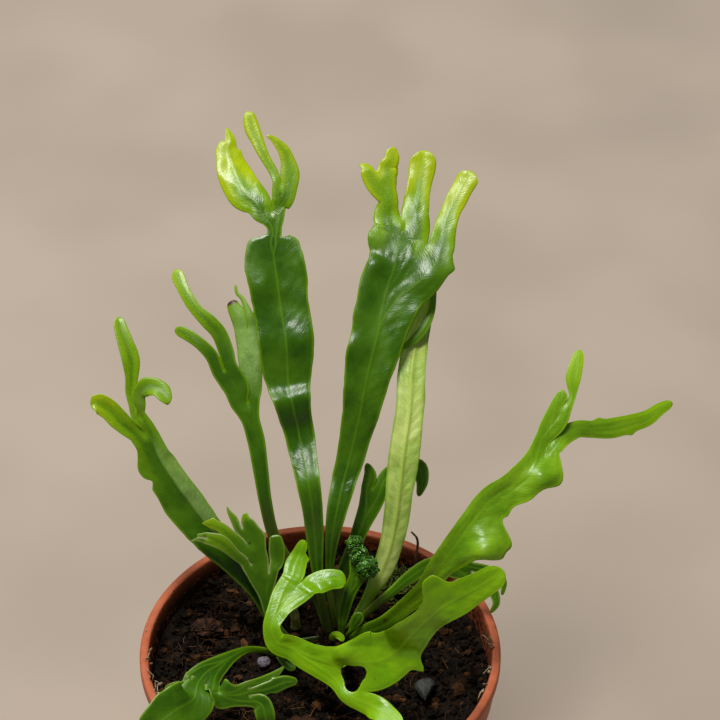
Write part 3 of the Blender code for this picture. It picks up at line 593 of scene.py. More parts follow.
def frondMesh(name, tree, seed):
    # The sheet is quilted between its oblique veins, ruffled towards its margins, and then thickened:
    # round at the stalk, thin at the margin, with a ridge along the midrib on both faces.
    style = {**frondStyle, **tree}
    fan, quads, near = growSheet(style, style["columns"], seed)
    points = fromFan(fan)
    rib, edge, total, right = (near[label] for label in ("rib", "edge", "total", "right"))
    half = rib + edge
    outwards = rib / np.maximum(half, 0.05)
    stalk = 1 - ease((total - 0.5 * style["stalk"]) / style["stalk"])
    vein = total - blade["veinSlope"] * rib + right * 0.35 * blade["veinPitch"]
    seeded = np.full(len(points), seed)
    drift = valueNoise(np.stack([total / 3, rib / 2, seeded], -1), blade["driftSeed"])
    # the quilting fades out beside the midrib, at the margin and where the blade is narrow
    inner = ease((rib - 0.25) / 0.7) * ease(edge / 0.9) * ease((half - 0.9) / 1.2)
    quilt = style["quilt"] * np.sin(turn * vein / blade["veinPitch"] + 2.6 * drift)
    puckerPlace = np.stack([vein / 2.6, rib / 4 + 5 * right, seeded + 3], -1)
    pucker = style["pucker"] * layeredNoise(puckerPlace, blade["puckerSeed"], 2)
    rufflePlace = np.stack([total / style["ruffleLength"] * 2.2, right * 4 + 6, seeded], -1)
    wave = valueNoise(rufflePlace, blade["ruffleSeed"])
    ruffle = style["ruffle"] * wave * (outwards**2 * ease((half - 0.6) / 2))
    uneven = layeredNoise(np.stack([total / 5, rib * right / 3, seeded + 9], -1), blade["dentSeed"])
    dents = blade["dents"] * uneven * ease((half - 1) / 1.5)
    relief = ((quilt + pucker) * inner + ruffle + dents) * ease(near["joint"] / blade["jointReach"])
    points = points + sheetNormals(points, quads) * relief[:, None]
    thin = blade["lamina"] * (0.3 + 0.7 * ease(edge / 0.8))
    stout = blade["stalkHalf"] * np.sqrt(np.clip(1 - outwards**2, 0, 1)) * stalk
    slim = ease((half - 0.4) / 1.6) * (1 - stalk)
    lamina = np.maximum(thin, stout)
    over, under = (lamina + high * hump(rib, broad) * slim for high, broad in blade["ridges"])
    both, faces = thicken(points, quads, over, under)
    low, high = style["youth"]
    youth = style["youthMost"] * ease((total / total.max() - low) / (high - low)) + near["fresh"]
    scar = style["scar"] * np.exp(-near["notch"] / style["scarReach"]) * hump(edge, 0.2)
    values = {"rib": rib + 0.3 * (1 - style["ribLine"]), "edge": edge, "vein": vein,
              "youth": np.minimum(1, youth), "scar": scar, "stalk": stalk, "dead": near["dead"]}
    values = {label: np.tile(value, 2) for label, value in values.items()}
    values["under"] = np.concatenate([near["pale"], 1 - near["pale"]])
    return meshOf(name, both, faces, values)


# What a blade's options say, with lengths in mm from the start of its strip:
# roll turns it about its length, in degrees at start and end; keel is how deep it folds; tip is the round
# end's length in half widths; bumps are (side, where, how far out, spread) in a margin, shoulders the same
# along it, swells (where, aside, how high, spread) and holes (where, aside, size) in the blade; youth is
# where the yellow-green starts and is full, as shares of the frond, and fresh adds to it towards a tip, the
# yellow-green being partly the young tissue's colour and partly painted back-lit glow; pale is the part
# across the blade that is coloured as its underside, which on the long left frond's main strip is partly a
# painted sheen; scar is how withered the clefts are.
fronds = {  # each with its node, its look and its blade
    "tallLeftFrond": ("frond_tall_left", "green", ribbon(
        (-1.1, 0.6, 0.2, 0.7), (-2.4, 7.5, 0.8, 0.7), (-3, 12.5, 1.4, 1.1), (-3.3, 17.5, 2.4, 1.5),
        (-3.7, 22, 3.8, 1.75), (-4.3, 26, 4.1, 2), (-4.9, 29, 2.8, 2.2), (-5.5, 32, 1.4, 2.35),
        (-6, 34.6, 1.1, 2.5), (-6.7, 37.8, 2.6, 2.85), (-7.1, 39.8, 3.1, 3.2), (-7.6, 42, 2.1, 3.6),
        (-7.8, 45, 2.3, 4.1), (-7.9, 48, 2.8, 4.5), (-9.1, 56, 2.6, 4.8), (-9.6, 60, 2.8, 5.1),
        (-10, 62.4, 3, 5), (-10.2, 64.4, 3.1, 4.5), (-10.2, 65.4, 3.1, 3.9), (-10.2, 65.9, 3.1, 3),
        (-10.2, 66.3, 3.1, 1.9), (-10.1, 66.8, 3.1, 1.25), (-10, 68, 3.1, 1.2), (-10.2, 69.2, 3.1, 1.8),
        (-10.8, 70.7, 3, 3), roll=(-3, 3), youth=(0.68, 1.08), sway=0.06, pucker=0.05,
        shoulders=[(-1, 67.4, 0.8, 0.8), (1, 67.5, 1, 0.9)],
        swells=[(60.5, -2.9, 0.8, 2.8), (51, 2, 0.5, 2.2)],
        forks=[
        fork(0, 0.54, (-12.7, 72, 2.9, 2.2), (-15.1, 74.3, 2.3, 3.05), (-16.9, 77.7, 1.3, 2.85),
            (-17.6, 79.9, 0.8, 2.3), (-17.9, 82, 0.4, 1.8), (-17.6, 82.7, 0.3, 1.1), (-17.8, 83.9, 0.1, 0.7),
            (-18.3, 85.2, -0.1, 0.2), keel=-0.15, roll=(3, 7), fresh=0.5),
        fork(0.54, 1, (-8.7, 72.9, 3, 1.9), (-8.3, 75.4, 3, 2.2), forks=[
            fork(0, 0.33, (-10.2, 77.5, 2.9, 0.75), (-11.3, 79.4, 2.8, 0.8), (-12.3, 81.3, 2.7, 0.95),
                (-13, 83, 2.5, 1.1), (-13.8, 84.8, 2.3, 1.3), (-14.3, 86.7, 2.1, 1.1), (-14.5, 87.9, 2, 0.8),
                tip=1),
            fork(0.33, 1, (-7.5, 77.4, 2.9, 1.6), (-7.9, 79.6, 2.9, 1.2), (-8.6, 81.3, 3, 1),
                (-9.5, 82.4, 3.1, 0.75), (-10.7, 83.4, 3.2, 0.4), (-11.4, 83.7, 3.3, 0.2))])])),
    "tallRightFrond": ("frond_tall_right", "green", ribbon(
        (0.3, 1.3, -0.7, 0.5), (-0.9, 7.5, -0.6, 0.6), (-0.8, 12.5, 0.3, 0.8), (-0.3, 17.5, 1.8, 1.3),
        (0.2, 20.5, 2.1, 1.65), (0.8, 23.3, 1.4, 1.9), (1.6, 26.6, 0.1, 2.1), (2.5, 30, -0.5, 2.3),
        (3.9, 36, 0.5, 2.9), (5.3, 43.3, 1.3, 3.9), (6.7, 49, 1.3, 4.5), (8, 54, 1.1, 4.9),
        (9.6, 58, 0.9, 5.6), (11.6, 61.5, 0.6, 6.6), (12.6, 64.2, 0.2, 7.2), (13.2, 66.2, -0.2, 7),
        roll=(8, -2), youth=(0.66, 1.1), sway=0.08, ruffle=0.4, pucker=0.05,
        bumps=[(1, 65.3, 0.8, 0.8), (1, 67.3, -0.2, 0.6)],
        swells=[(60.8, -4.8, 0.7, 1.9), (63.3, 4.6, 0.6, 1.9), (64.8, 0.4, 0.3, 2.4)], forks=[
        fork(0, 0.67, (11.3, 68.3, -0.6, 4.8), (11.1, 70.2, -1, 4.9), forks=[
            fork(0, 0.49, (8.8, 71.6, -1, 2), (9, 72.6, -0.9, 1.7), (8.1, 75, -0.8, 2.4),
                (7.6, 76.6, -0.8, 2.9), (7.4, 78.1, -0.8, 3.1), roll=(0, 8), forks=[
                fork(0, 0.4, (4.9, 78.7, -0.8, 0.7), (4.1, 79, -0.8, 0.2)),
                fork(0.5, 1, (9.5, 79.8, -0.9, 1.3), (9.7, 81.1, -1, 1.1), (10.1, 82, -1.1, 0.7))]),
            fork(0.49, 1, (13.7, 72.4, -1.55, 2.2), (14, 74.5, -2.05, 2), (14.4, 76.6, -2.5, 2),
                (14.7, 78.4, -2.7, 2.2), (15, 80.2, -2.75, 2.1), (15.1, 81.6, -2.75, 1.9), tip=1.1, keel=0.15,
                roll=(-2, -3), fresh=0.3)]),
        fork(0.67, 1, (18.2, 67.2, -0.5, 2), (18.8, 69.5, -0.9, 1.8), (19.5, 71.3, -1.2, 1.65),
            (20.5, 73.3, -1.5, 1.75), (21.6, 75.4, -1.8, 1.75), (22.5, 76.9, -1.8, 1.8),
            (23.1, 77.9, -1.7, 1.4), tip=1, roll=(-6, -12), fresh=0.4)])),
    "paleFrond": ("frond_pale", "under", ribbon(
        (2.1, 0.7, -1.5, 0.5), (3.6, 3.2, -0.9, 0.7), (5.6, 6.6, -0.3, 1), (7.6, 10.5, 0.2, 1.7),
        (9.2, 15, 0.8, 1.9), (10.2, 20, 1.1, 2.1), (10.8, 25, 1.4, 2.3), (11.6, 31.7, 1.3, 2.6),
        (12.5, 38.3, 0.4, 2.4), (12.8, 44.2, -1, 2.3), (13.6, 49.2, -2.6, 2), (14.9, 53.3, -3.8, 1.4),
        (16.2, 57.2, -4, 0.6), (16.6, 58.4, -3.2, 0.45), (16.5, 57.2, -2.3, 0.5), (16.1, 54.2, -1.8, 0.6),
        (15.1, 51.9, -1.3, 0.75), (13.1, 49.5, -1.2, 0.7), (10.9, 48, -1.2, 0.3), face=(0, 0, -1),
        youth=(0.8, 0.88), quilt=0.04)),
    "shortBackFrond": ("frond_short_back", "green", ribbon(
        (0.4, 1.5, -2.2, 0.5), (0.4, 6.7, -2.8, 0.7), (1.4, 10.5, -3, 1.1), (2.9, 14.2, -3.2, 1.2),
        (4.4, 18.3, -3.2, 1.4), (5.9, 22, -3.2, 1.9), (6.7, 24.5, -3.2, 2.3), youth=(1, 1.5), forks=[
        fork(0, 0.4, (5.9, 26.8, -3.2, 1.1), (5.3, 29, -3.4, 0.4)),
        fork(0.4, 1, (8.8, 26.8, -3.8, 1.3), (11.7, 28.4, -4.5, 1.3), (14, 28.2, -4.7, 1.4),
            (14.6, 26.2, -4.2, 1.1), (14, 23.4, -3.4, 0.4))])),
    "archingFrond": ("frond_arching", "strap", ribbon(
        (2.3, -0.9, 0.4, 0.6), (5, 1, 2.4, 1.1), (8.3, 2.8, 6, 1.3), (11.7, 5.8, 9, 1.4),
        (14.8, 8.9, 11.8, 1.6), (17.4, 13, 13.4, 2), (20.1, 16.8, 14, 2.2), (22.7, 20.3, 14.2, 2.3),
        (25.5, 23.6, 13.7, 2.3), (29.4, 26, 12.7, 2.5), (32.9, 29.2, 11.2, 2.6), (35, 32.6, 9.6, 2.7),
        columns=72, youth=(0.5, 2), keel=0.2, bumps=[(1, 28, 1.2, 2.5), (1, 31.6, 4.4, 1.8),
        (1, 34.4, 4.4, 1.8), (1, 38.6, 1.3, 1.9), (1, 43.5, 0.8, 2), (1, 47.8, 2.3, 1.9),
        (1, 51.6, -0.6, 0.8)],
        swells=[(30.5, 4.2, 3, 3.6), (46.6, 1.9, 1.5, 2.4)], forks=[
        fork(0, 0.5, (36.1, 36.6, 8.6, 2), (37, 38.6, 8.2, 1.8), keel=0.1, forks=[
            fork(0, 0.55, (37.1, 40.4, 7.9, 1), (37.3, 41.4, 7.7, 0.5)),
            fork(0.55, 1, (38.9, 40.4, 7.3, 0.6), (39.1, 43.3, 6.9, 1.25), (39.7, 45.7, 6.3, 1.1),
                (40.3, 47.9, 5.6, 0.7), fresh=0.4)]),
        fork(0.5, 1, (38, 34.2, 8, 1.5), (40, 35, 7, 1.4), (42.1, 34.9, 6, 1.4), (45.7, 35.1, 4.6, 1.7),
            (48.8, 35.8, 3.4, 1.5), (51.7, 36.7, 2.4, 1.3), (53.9, 38.2, 1.5, 1), (55.9, 39.2, 1, 0.7),
            keel=0.05, fresh=0.1, bumps=[(-1, 9.5, 0.4, 0.8), (1, 15, 0.4, 0.7)])])),
    "lowRightFrond": ("frond_low_right", "green", ribbon(
        (2.4, -0.1, -0.6, 0.45), (4, 2.6, 0.6, 0.5), (6.6, 5.2, 1.2, 0.7), (9.5, 7.6, 1, 0.8),
        (12.5, 10, 0.4, 1.1), (15.8, 12, -0.4, 1.2), (20, 11.6, -0.8, 1.8), (23, 10.8, -0.5, 1.7),
        youth=(1, 1.5), scar=1, forks=[
        fork(0, 0.5, (26.2, 10.8, 0, 0.9), (28.2, 9.2, 0.3, 0.5), (27.9, 7, 0.5, 0.3)),
        fork(0.5, 1, (25.2, 9, 0, 0.9), (26.7, 7, 0.5, 0.8), (26.9, 5.6, 1, 0.6), (26, 4.1, 1.2, 0.3))])),
    "frontStalk": ("frond_front", "bright", ribbon(
        (1.3, -1.9, 1.3, 0.9), (1.6, -2.4, 5, 1.1), (1.6, -2.8, 9, 1.4), (0.8, -3.5, 12, 1.5),
        (-0.4, -4.4, 13, 1), face=(0, 1, 0.2), columns=24, youth=(2, 3), stalk=8)),
    "frontFrond": ("frond_front", "bright", ribbon(
        (-5.9, 9.2, 4.9, 3.5), (-7.6, 7.3, 5.9, 2.9), (-9.3, 4.9, 7.4, 1.9), (-10.3, 2.3, 8.6, 1.5),
        (-9.4, -0.2, 9.3, 1.9), (-7, -1, 10, 2.1), (-4.8, -2.1, 11.5, 2.3), (-2.5, -2.9, 12.8, 2.7),
        (0.9, -3.7, 14.6, 3.9), (3.3, -4.1, 15.9, 5.8), (5.5, -4.3, 17, 6.6), columns=80, youth=(0.6, 2.2),
        stalk=0.1, roll=(25, 0), keel=0.08, pucker=0.03, holes=[(26.7, 1, 2.1)],
        swells=[(24.6, -2.6, 1.2, 2), (25.5, 4.6, 0.8, 2.2)], forks=[
        fork(0, 0.74, (9.6, -0.9, 19.8, 4.1), (12.2, 2, 23, 3.1), (14.7, 4.8, 25.5, 2.3),
            (17.1, 7.2, 27.6, 2.6), (19.8, 9, 29, 2.7), (22.8, 10.8, 30.2, 2.3), (25.2, 12.4, 31, 2),
            (26.7, 13.4, 31, 1.5), tip=1, roll=(0, -12), bumps=[(1, 7.6, 1.8, 0.7), (-1, 18.7, 2.2, 1.1),
            (-1, 20.3, 2.2, 1.1)]),
        fork(0.74, 1, (7.2, -10.1, 19.1, 2), (9.1, -11.2, 21, 1.7), (10.9, -12.2, 22.6, 1.1),
            roll=(-28, -28))],
        back=[
        fork(0, 0.5, (-6.4, 12.4, 2.5, 1.8), (-5.9, 13.8, 1.5, 1.4), (-5.4, 15.4, 1.2, 0.9),
            (-5, 16.3, 0.9, 0.6), tip=1, roll=(-4, 0), bumps=[(1, 4.6, 0.5, 0.35), (1, 5.6, -0.3, 0.4)]),
        fork(0.5, 1, (-3.3, 9.1, 4.7, 2.1), (-0.6, 9.9, 4.4, 2), (0.8, 9.9, 4.3, 1.8), (1.9, 9.9, 4.2, 1.6),
            tip=0.7, roll=(-30, -37), swells=[(4.4, 0.8, 0.4, 1.3)])])),
    "lowLeftFrond": ("frond_low_left", "green", ribbon(
        (-1.2, -2.1, 1.3, 0.5), (-5.2, -3, 3.4, 0.5), (-9.4, -2.4, 5.5, 0.5), (-12.2, -1.5, 8, 0.5),
        (-14.5, -1.3, 10.4, 0.6), (-16.7, -2.1, 12.8, 1), (-18.7, -3.4, 14.6, 1.7), (-20.5, -4.8, 16.4, 2.6),
        (-21.3, -6, 17.4, 3.3), columns=72, youth=(0.9, 2), scar=0.35, crenate=0.05, forks=[
        fork(0, 0.4, (-18.2, -7.6, 18.4, 2.4), (-16, -7.9, 18.2, 1.8), (-13.6, -7.6, 17.6, 2.2), forks=[
            fork(0, 0.3, (-11, -5.6, 16.5, 0.9), (-9.5, -4.7, 15.8, 0.6), (-8.1, -3.5, 15.2, 0.15)),
            fork(0.3, 0.6, (-10.4, -6.8, 17, 1.2), (-7.9, -5.9, 16.4, 1.1), (-5.9, -5.8, 16, 0.5), tip=1,
                bumps=[(1, 3.2, -0.4, 0.5), (-1, 4.5, 0.3, 0.4)]),
            fork(0.6, 1, (-11.8, -9.2, 18, 1.6), (-11.1, -11, 18.2, 1.6), (-10.9, -13.5, 17.4, 1.4))]),
        fork(0.4, 0.8, (-22.6, -8.2, 20, 3.6), (-25.2, -9.6, 22.5, 3.8), (-28, -11.8, 24.4, 3.1),
            (-30.4, -14.6, 25.5, 2.2)),
        fork(0.8, 1, (-23.9, -6.3, 18.2, 1), (-25.9, -6.5, 18.6, 0.8), (-27.3, -6.7, 18.8, 0.4))])),
    "fanFrond": ("frond_fan", "green", ribbon(
        (-2.3, -1.5, 0.3, 0.5), (-6.2, -2.5, 1.4, 0.6), (-9.8, 0.9, 2, 0.6), (-11.2, 4.4, 2.2, 0.7),
        (-11.5, 6.2, 2.2, 0.9), (-11.6, 7.6, 2.2, 1.35), (-11.8, 9.3, 2.2, 2.1), (-12, 10.8, 2.2, 2.75),
        columns=64, youth=(0.1, 0.6), youthMost=0.15, scar=0.6, scarReach=3, ruffle=0.2, ribLine=0.1, forks=[
        fork(0, 0.7, (-13.2, 12.5, 2.1, 2.3), forks=[
            fork(0, 0.36, (-16.5, 14, 2.3, 0.9), (-19, 16.1, 2.4, 1.25), (-21.2, 16.7, 2.2, 1), fresh=0.2,
                forks=[
                fork(0, 0.5, (-22.6, 16.5, 2.1, 0.35), (-23.9, 16.2, 2, 0.06), fresh=0.2),
                fork(0.5, 1, (-22.2, 17.1, 2.1, 0.4), (-22.8, 17.2, 2.1, 0.3), tip=0.5, fresh=0.2)]),
            fork(0.36, 1, (-13.2, 14.2, 2, 2.1), (-14, 15.9, 1.8, 2.9), forks=[
                fork(0, 0.43, (-17.1, 16.8, 1.6, 1.1), (-19.4, 18.7, 1.3, 0.85), (-20.8, 19.1, 1.1, 0.7),
                    (-22, 19.1, 1, 0.1), bumps=[(1, 6.2, 0.4, 0.25)], fresh=0.4),
                fork(0.43, 1, (-13.9, 17.4, 1.6, 1.8), (-14.9, 18.7, 1.4, 1.8), forks=[
                    fork(0, 0.35, (-16.8, 20, 1.1, 0.62), (-17.5, 21, 1, 0.35), (-17.9, 22, 0.9, 0.08),
                        fresh=0.2),
                    fork(0.35, 1, (-14.8, 20.1, 1.2, 0.72), (-14.8, 21, 1.1, 0.25), tip=1, fresh=0.3)])])]),
        fork(0.7, 1, (-9.6, 12.8, 1.7, 1.2), (-9.6, 14.9, 1.5, 1.35), (-9.9, 17.2, 1.3, 0.95), tip=0.5)])),
    # its pale band down the right part is coloured as an underside and is partly a painted sheen of the half
    # tilted up to the lamps
    "longLeftFrond": ("frond_long_left", "green", ribbon(
        (-2.3, -0.6, -1.1, 0.6), (-7.3, -1.1, -1.6, 0.8), (-10.6, 2.6, -1.3, 0.9), (-13.2, 7.4, -1, 1.2),
        (-17.5, 13.2, -0.5, 2.3), (-22.3, 18.7, 0, 3.1), (-24.7, 21.8, 0.3, 3.4), (-27.1, 25.3, 0.5, 3.2),
        (-29.6, 29.2, 0.5, 2.9), (-30.8, 32.3, 0.5, 2.3), (-31.8, 34, 0.5, 2.3), roll=(4, 10), keel=0.35,
        ribLine=0.2, youth=(0.2, 1.2), youthMost=0.5, pale=(0.35, 1), paleFade=12, paleEnd=5,
        bumps=[(-1, 40.6, -0.9, 0.7), (-1, 43, 0.3, 1.2)], forks=[
        fork(0, 0.55, (-34.3, 35, 1, 1.5), (-35.8, 36.4, 1.3, 1.7), (-37.6, 38.2, 1.6, 1.7),
            (-39.3, 39, 2, 1.6), (-40.3, 38.8, 2.2, 1), tip=0.6, fresh=0.3),
        fork(0.55, 1, (-32.4, 36.8, 0.4, 1.2), forks=[
            fork(0, 0.5, (-33.5, 38.9, 0.3, 0.7), (-33.9, 40.8, 0.1, 0.8), (-33.7, 43.4, 0, 1.1),
                (-33.9, 46.2, 0, 1.5), (-34.9, 49.4, -0.3, 1.3), (-35.6, 51.4, -0.6, 1.1),
                (-36.1, 53.4, -1, 0.9)),
            fork(0.5, 1, (-32.1, 38.9, 0.8, 0.8), (-32.3, 40.5, 1.2, 1.1), (-31.3, 41.6, 1.8, 1.5),
                (-29.4, 41.6, 2.6, 1.6), (-27.9, 40, 3.3, 1.2), (-27.4, 38.9, 3.6, 0.7),
                sway=0.3, crenate=0.35, pale=(-1, 1), paleFade=2, roll=(10, -30))])])),
    "backLeftFrond": ("frond_back_left", "green", ribbon(
        (-1.5, 1.1, -2, 0.55), (-3.2, 6, -3, 0.7), (-6.8, 11, -3.2, 0.9), (-10.2, 16.7, -3.2, 1),
        (-11.6, 22.5, -3, 1.1), (-12.4, 28, -3, 1.3), (-13.2, 33, -3, 1.5), (-14.1, 36.4, -3, 1.6),
        (-14.9, 39, -3, 2.5), roll=(0, -6), stalk=34, ribLine=0.3, youth=(0.6, 1.3), forks=[
        fork(0, 0.58, (-16.5, 41.6, -3, 2.2), (-18.2, 44.4, -3, 2.2), forks=[
            fork(0, 0.45, (-20.6, 46.9, -3, 1.1), (-22.6, 49, -3, 1), (-24.8, 50.5, -3.4, 1),
                (-26.8, 51.4, -4, 0.9)),
            fork(0.45, 1, (-18.2, 47.7, -3, 1.3), (-19.6, 51, -3, 1.3), (-21.1, 52.6, -3, 1.3),
                (-23.3, 54.7, -3.3, 1), (-25.4, 58, -4, 1), (-26.9, 61.4, -5, 1.2))]),
        fork(0.58, 1, (-13.6, 41, -3, 1.4), (-13.9, 43.8, -3, 1.8), (-14.3, 48, -3, 2.1),
            (-14.7, 51.4, -3, 2.2), pale=(-1, 1), paleFade=6, keel=-0.2, forks=[
            fork(0, 0.55, (-16, 53.4, -3, 1.5), (-16.8, 54.8, -3.1, 1.2), (-17.4, 56.1, -3.2, 0.8), tip=0.5,
                pale=(-1, 1), dead=0.9),
            fork(0.55, 1, (-14.2, 53.4, -2.6, 0.8), (-14.9, 55.2, -2.8, 0.5), (-15.6, 56.6, -3, 0.35),
                (-16.4, 57.4, -3.1, 0.3), (-16.7, 58.8, -3.2, 0.2), pale=(-1, 1))])])),
    "crozierStalk": ("frond_crozier", "green", ribbon(
        (1, 0.2, 1.1, 0.5), (1.5, 4, 1.8, 0.9), (2.4, 7.4, 2, 1.1), (3.6, 10, 1.8, 1.3),
        stalk=3, youth=(2, 3), columns=24, forks=[
        fork(0, 0.5, (3.7, 12.4, 1.6, 1.3), (3.8, 14.4, 1.4, 1)),
        fork(0.5, 1, (4.8, 11, 2.4, 1.3), (5.4, 11.6, 3, 1))])),
    "curledLeaflet": ("leaflet_curled", "bright", ribbon(
        (-0.5, -0.5, 1.3, 0.3), (-0.5, 0, 2.4, 0.5), (0.1, 0.5, 3.2, 0.6), (1, 0.2, 3.7, 0.6),
        (1.4, -0.6, 3.9, 0.4), stalk=1, columns=16, youth=(2, 3))),
    "roundLeaflet": ("leaflet_round", "green", ribbon(
        (1.9, 0.3, 1.3, 0.25), (2.6, 1.2, 2.4, 0.35), (3.3, 2.3, 3, 0.8), (3.9, 3.4, 3.2, 1),
        (4.4, 4.3, 3.1, 0.7), stalk=2, columns=16, youth=(2, 3))),
    "darkLeaflet": ("leaflet_dark", "green", ribbon(
        (-10.2, -2.6, -0.6, 0.35), (-10, -2.4, 1.6, 0.5), (-9.2, -2.6, 3.8, 0.8), (-7.9, -4, 4.4, 1),
        (-6.6, -5.2, 5, 0.6), stalk=2, columns=16, youth=(2, 3))),
}

frondTriangles = 0
for number, (name, (node, look, tree)) in enumerate(fronds.items()):
    mesh = frondMesh(name, tree, 3.1 * number + 1)
    addPiece(name, mesh, leafMaterials[look], [node])
    frondTriangles += 2 * len(mesh.polygons)
print("fronds:", len(fronds), "pieces,", frondTriangles, "triangles")


# earth: soil, bark, stones, moss and straw share one grain

def makeEarthGrain():
    # a colour between dark and light by coarse and fine noise, with scattered specks of a third colour
    group, given, out = newGroup(
        "earthGrain", {"Place": "", "Size": 400.0, "Dark": (0.0, 0.0, 0.0), "Light": (0.0, 0.0, 0.0),
                       "Speck": (0.0, 0.0, 0.0), "Specks": 0.3, "Rough": 0.85},
        {"Color": tuple, "Roughness": float, "Height": float})
    coarse = noise(group, given["Place"], given["Size"], 4.0)
    fineSize = times(group, given["Size"], 5.0)
    fine = noise(group, given["Place"], fineSize, 3.0)
    mixed = timesPlus(group, fine, 0.5, times(group, coarse, 0.5))
    color = blendColors(group, fade(group, mixed, 0.38, 0.62), given["Dark"], given["Light"])
    specks = fade(group, cells(group, given["Place"], fineSize), 0.12, 0.2, 1.0, 0.0)
    specks = times(group, specks, given["Specks"], fade(group, coarse, 0.45, 0.6))
    group.links.new(blendColors(group, specks, color, given["Speck"]), out["Color"])
    rough = timesPlus(group, fine, -0.3, calc(group, "ADD", given["Rough"], 0.12))
    group.links.new(rough, out["Roughness"])
    group.links.new(mixed, out["Height"])
    return group


earthGrain = makeEarthGrain()


def makeEarth(name, dark, light, speck, size=500.0, specks=0.3, rough=0.85, bump=0.0004, tone=0.0):
    # the grain, turned towards the specks' colour piece by piece where the mesh carries a tone
    material, tree, shader = newMaterial(name, **{"Specular IOR Level": 0.12})
    found = addNode(tree, "ShaderNodeGroup", {
        "Place": objectPlace(tree), "Size": size, "Dark": dark, "Light": light, "Speck": speck,
        "Specks": specks, "Rough": rough}, node_tree=earthGrain).outputs
    color = found["Color"]
    if tone:
        color = blendColors(tree, times(tree, readValue(tree, "tone"), tone), color, speck)
    finish(tree, shader, color, found["Roughness"], found["Height"], bump)
    return material


# many small shapes at once

def littleLeaves(random, form, places, headings, normals, rows=4, columns=2):
    # each leaf runs its length along its heading, bends away along its normal with the square of the way,
    # is cupped with the square of the distance across, narrows towards both ends, and is then thickened
    lengths, widths = (random.uniform(*form[label], (len(places), 1, 1, 1)) for label in ("long", "wide"))
    u = np.linspace(0, 1, rows + 1)[None, :, None, None]
    v = np.linspace(-1, 1, columns + 1)[None, None, :, None]
    heading, normal = unit(headings), unit(normals)
    side = unit(np.cross(heading, normal))
    normal = np.cross(side, heading)
    heading, normal, side, place = (a[:, None, None] for a in (heading, normal, side, places))
    half = widths * np.sqrt(np.clip(1.05 - (1.5 * u - 0.65) ** 2 / 0.75, 0.02, 1))
    bend = form["curl"] * lengths * u**2 + form["cup"] * half * v**2
    points = place + heading * lengths * u + side * half * v + normal * bend
    numbers = np.arange(points[..., 0].size).reshape(points.shape[:3])
    corners = (numbers[:, :-1, :-1], numbers[:, :-1, 1:], numbers[:, 1:, 1:], numbers[:, 1:, :-1])
    quads = np.stack(corners, -1).reshape(-1, 4)
    return thicken(points.reshape(-1, 3), quads, form["thick"], form["thick"])


def addLittleLeaves(name, random, form, places, headings, normals):
    # one piece of many little leaves, each with its own random tone
    points, faces = littleLeaves(random, form, places, headings, normals)
    tone = np.repeat(random.uniform(0, 1, len(places)), len(points) // (2 * len(places)))
    mesh = meshOf(name, points, faces, {"tone": np.tile(tone, 2)})
    return addPiece(name, mesh, makeEarth(**form["look"]))


def ballPoints(rows, steps):
    # directions on a unit ball from pole to pole, for wrapFaces
    polar = np.linspace(0, np.pi, rows + 2)
    return lathe(np.stack([np.sin(polar), np.cos(polar)], -1), steps)


def randomDirections(random, count):
    return unit(random.normal(size=(count, 3)))


def boxOf(node):
    # a node's lowest and highest corners in millimetres
    return (np.array(corner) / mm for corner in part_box(node))


# pot

pot = {
    "lipWidth": 1.6, "lipHeight": 2, "collarHeight": 8, "collarStep": 1.2,
    "collarInset": 0.8, "baseRadius": 21.2, "wall": 1, "floor": 1.2,
    "drainHoles": 6, "drainRadius": 2.2, "drainCircle": 14.5, "drainSteps": 32,
    "steps": 192, "cornerRadius": 0.45, "sharpAngle": 50,
    "color": (0.45, 0.1, 0.036), "worn": (0.56, 0.16, 0.075), "dirt": (0.03, 0.017, 0.01),
    "cloudScale": 90.0, "gritScale": 900.0, "fleckScale": 700.0, "bump": 0.0002,
    # where the wear and the dirt come and go, in mm in from the rim's outside or under its top
    "lipInside": (1.5, 1.15), "wear": (0.5, 0), "smearFoot": (7.2, 6.4), "smearFade": (3.6, 0.1),
    "flecks": (9, 2),
}
collarFoot = potHeight - pot["collarHeight"]


def innerWall():
    inside = pot["baseRadius"] - pot["wall"]
    inner = rimRadius - pot["lipWidth"]
    return [
        (inner, potHeight - 0.8), (inner - 0.3, collarFoot + 0.4),
        (inner - pot["collarStep"] - 0.3, collarFoot - 0.8),
        (inside + 0.1, pot["floor"] + 0.8), (inside - 0.6, pot["floor"])]


def roundCorners(profile, radius):
    # each corner becomes a short curve that starts and ends up to the radius away along its two sides
    profile = np.asarray(profile, float)
    before, corner, after = profile[:-2], profile[1:-1], profile[2:]

    def towards(other):
        reach = np.minimum(radius, 0.45 * np.linalg.norm(other - corner, axis=1))[:, None]
        return corner + unit(other - corner) * reach

    t = np.linspace(0, 1, 5)[:, None, None]
    curve = towards(before) * (1 - t) ** 2 + corner * 2 * t * (1 - t) + towards(after) * t**2
    return np.concatenate([profile[:1], curve.transpose(1, 0, 2).reshape(-1, 2), profile[-1:]])


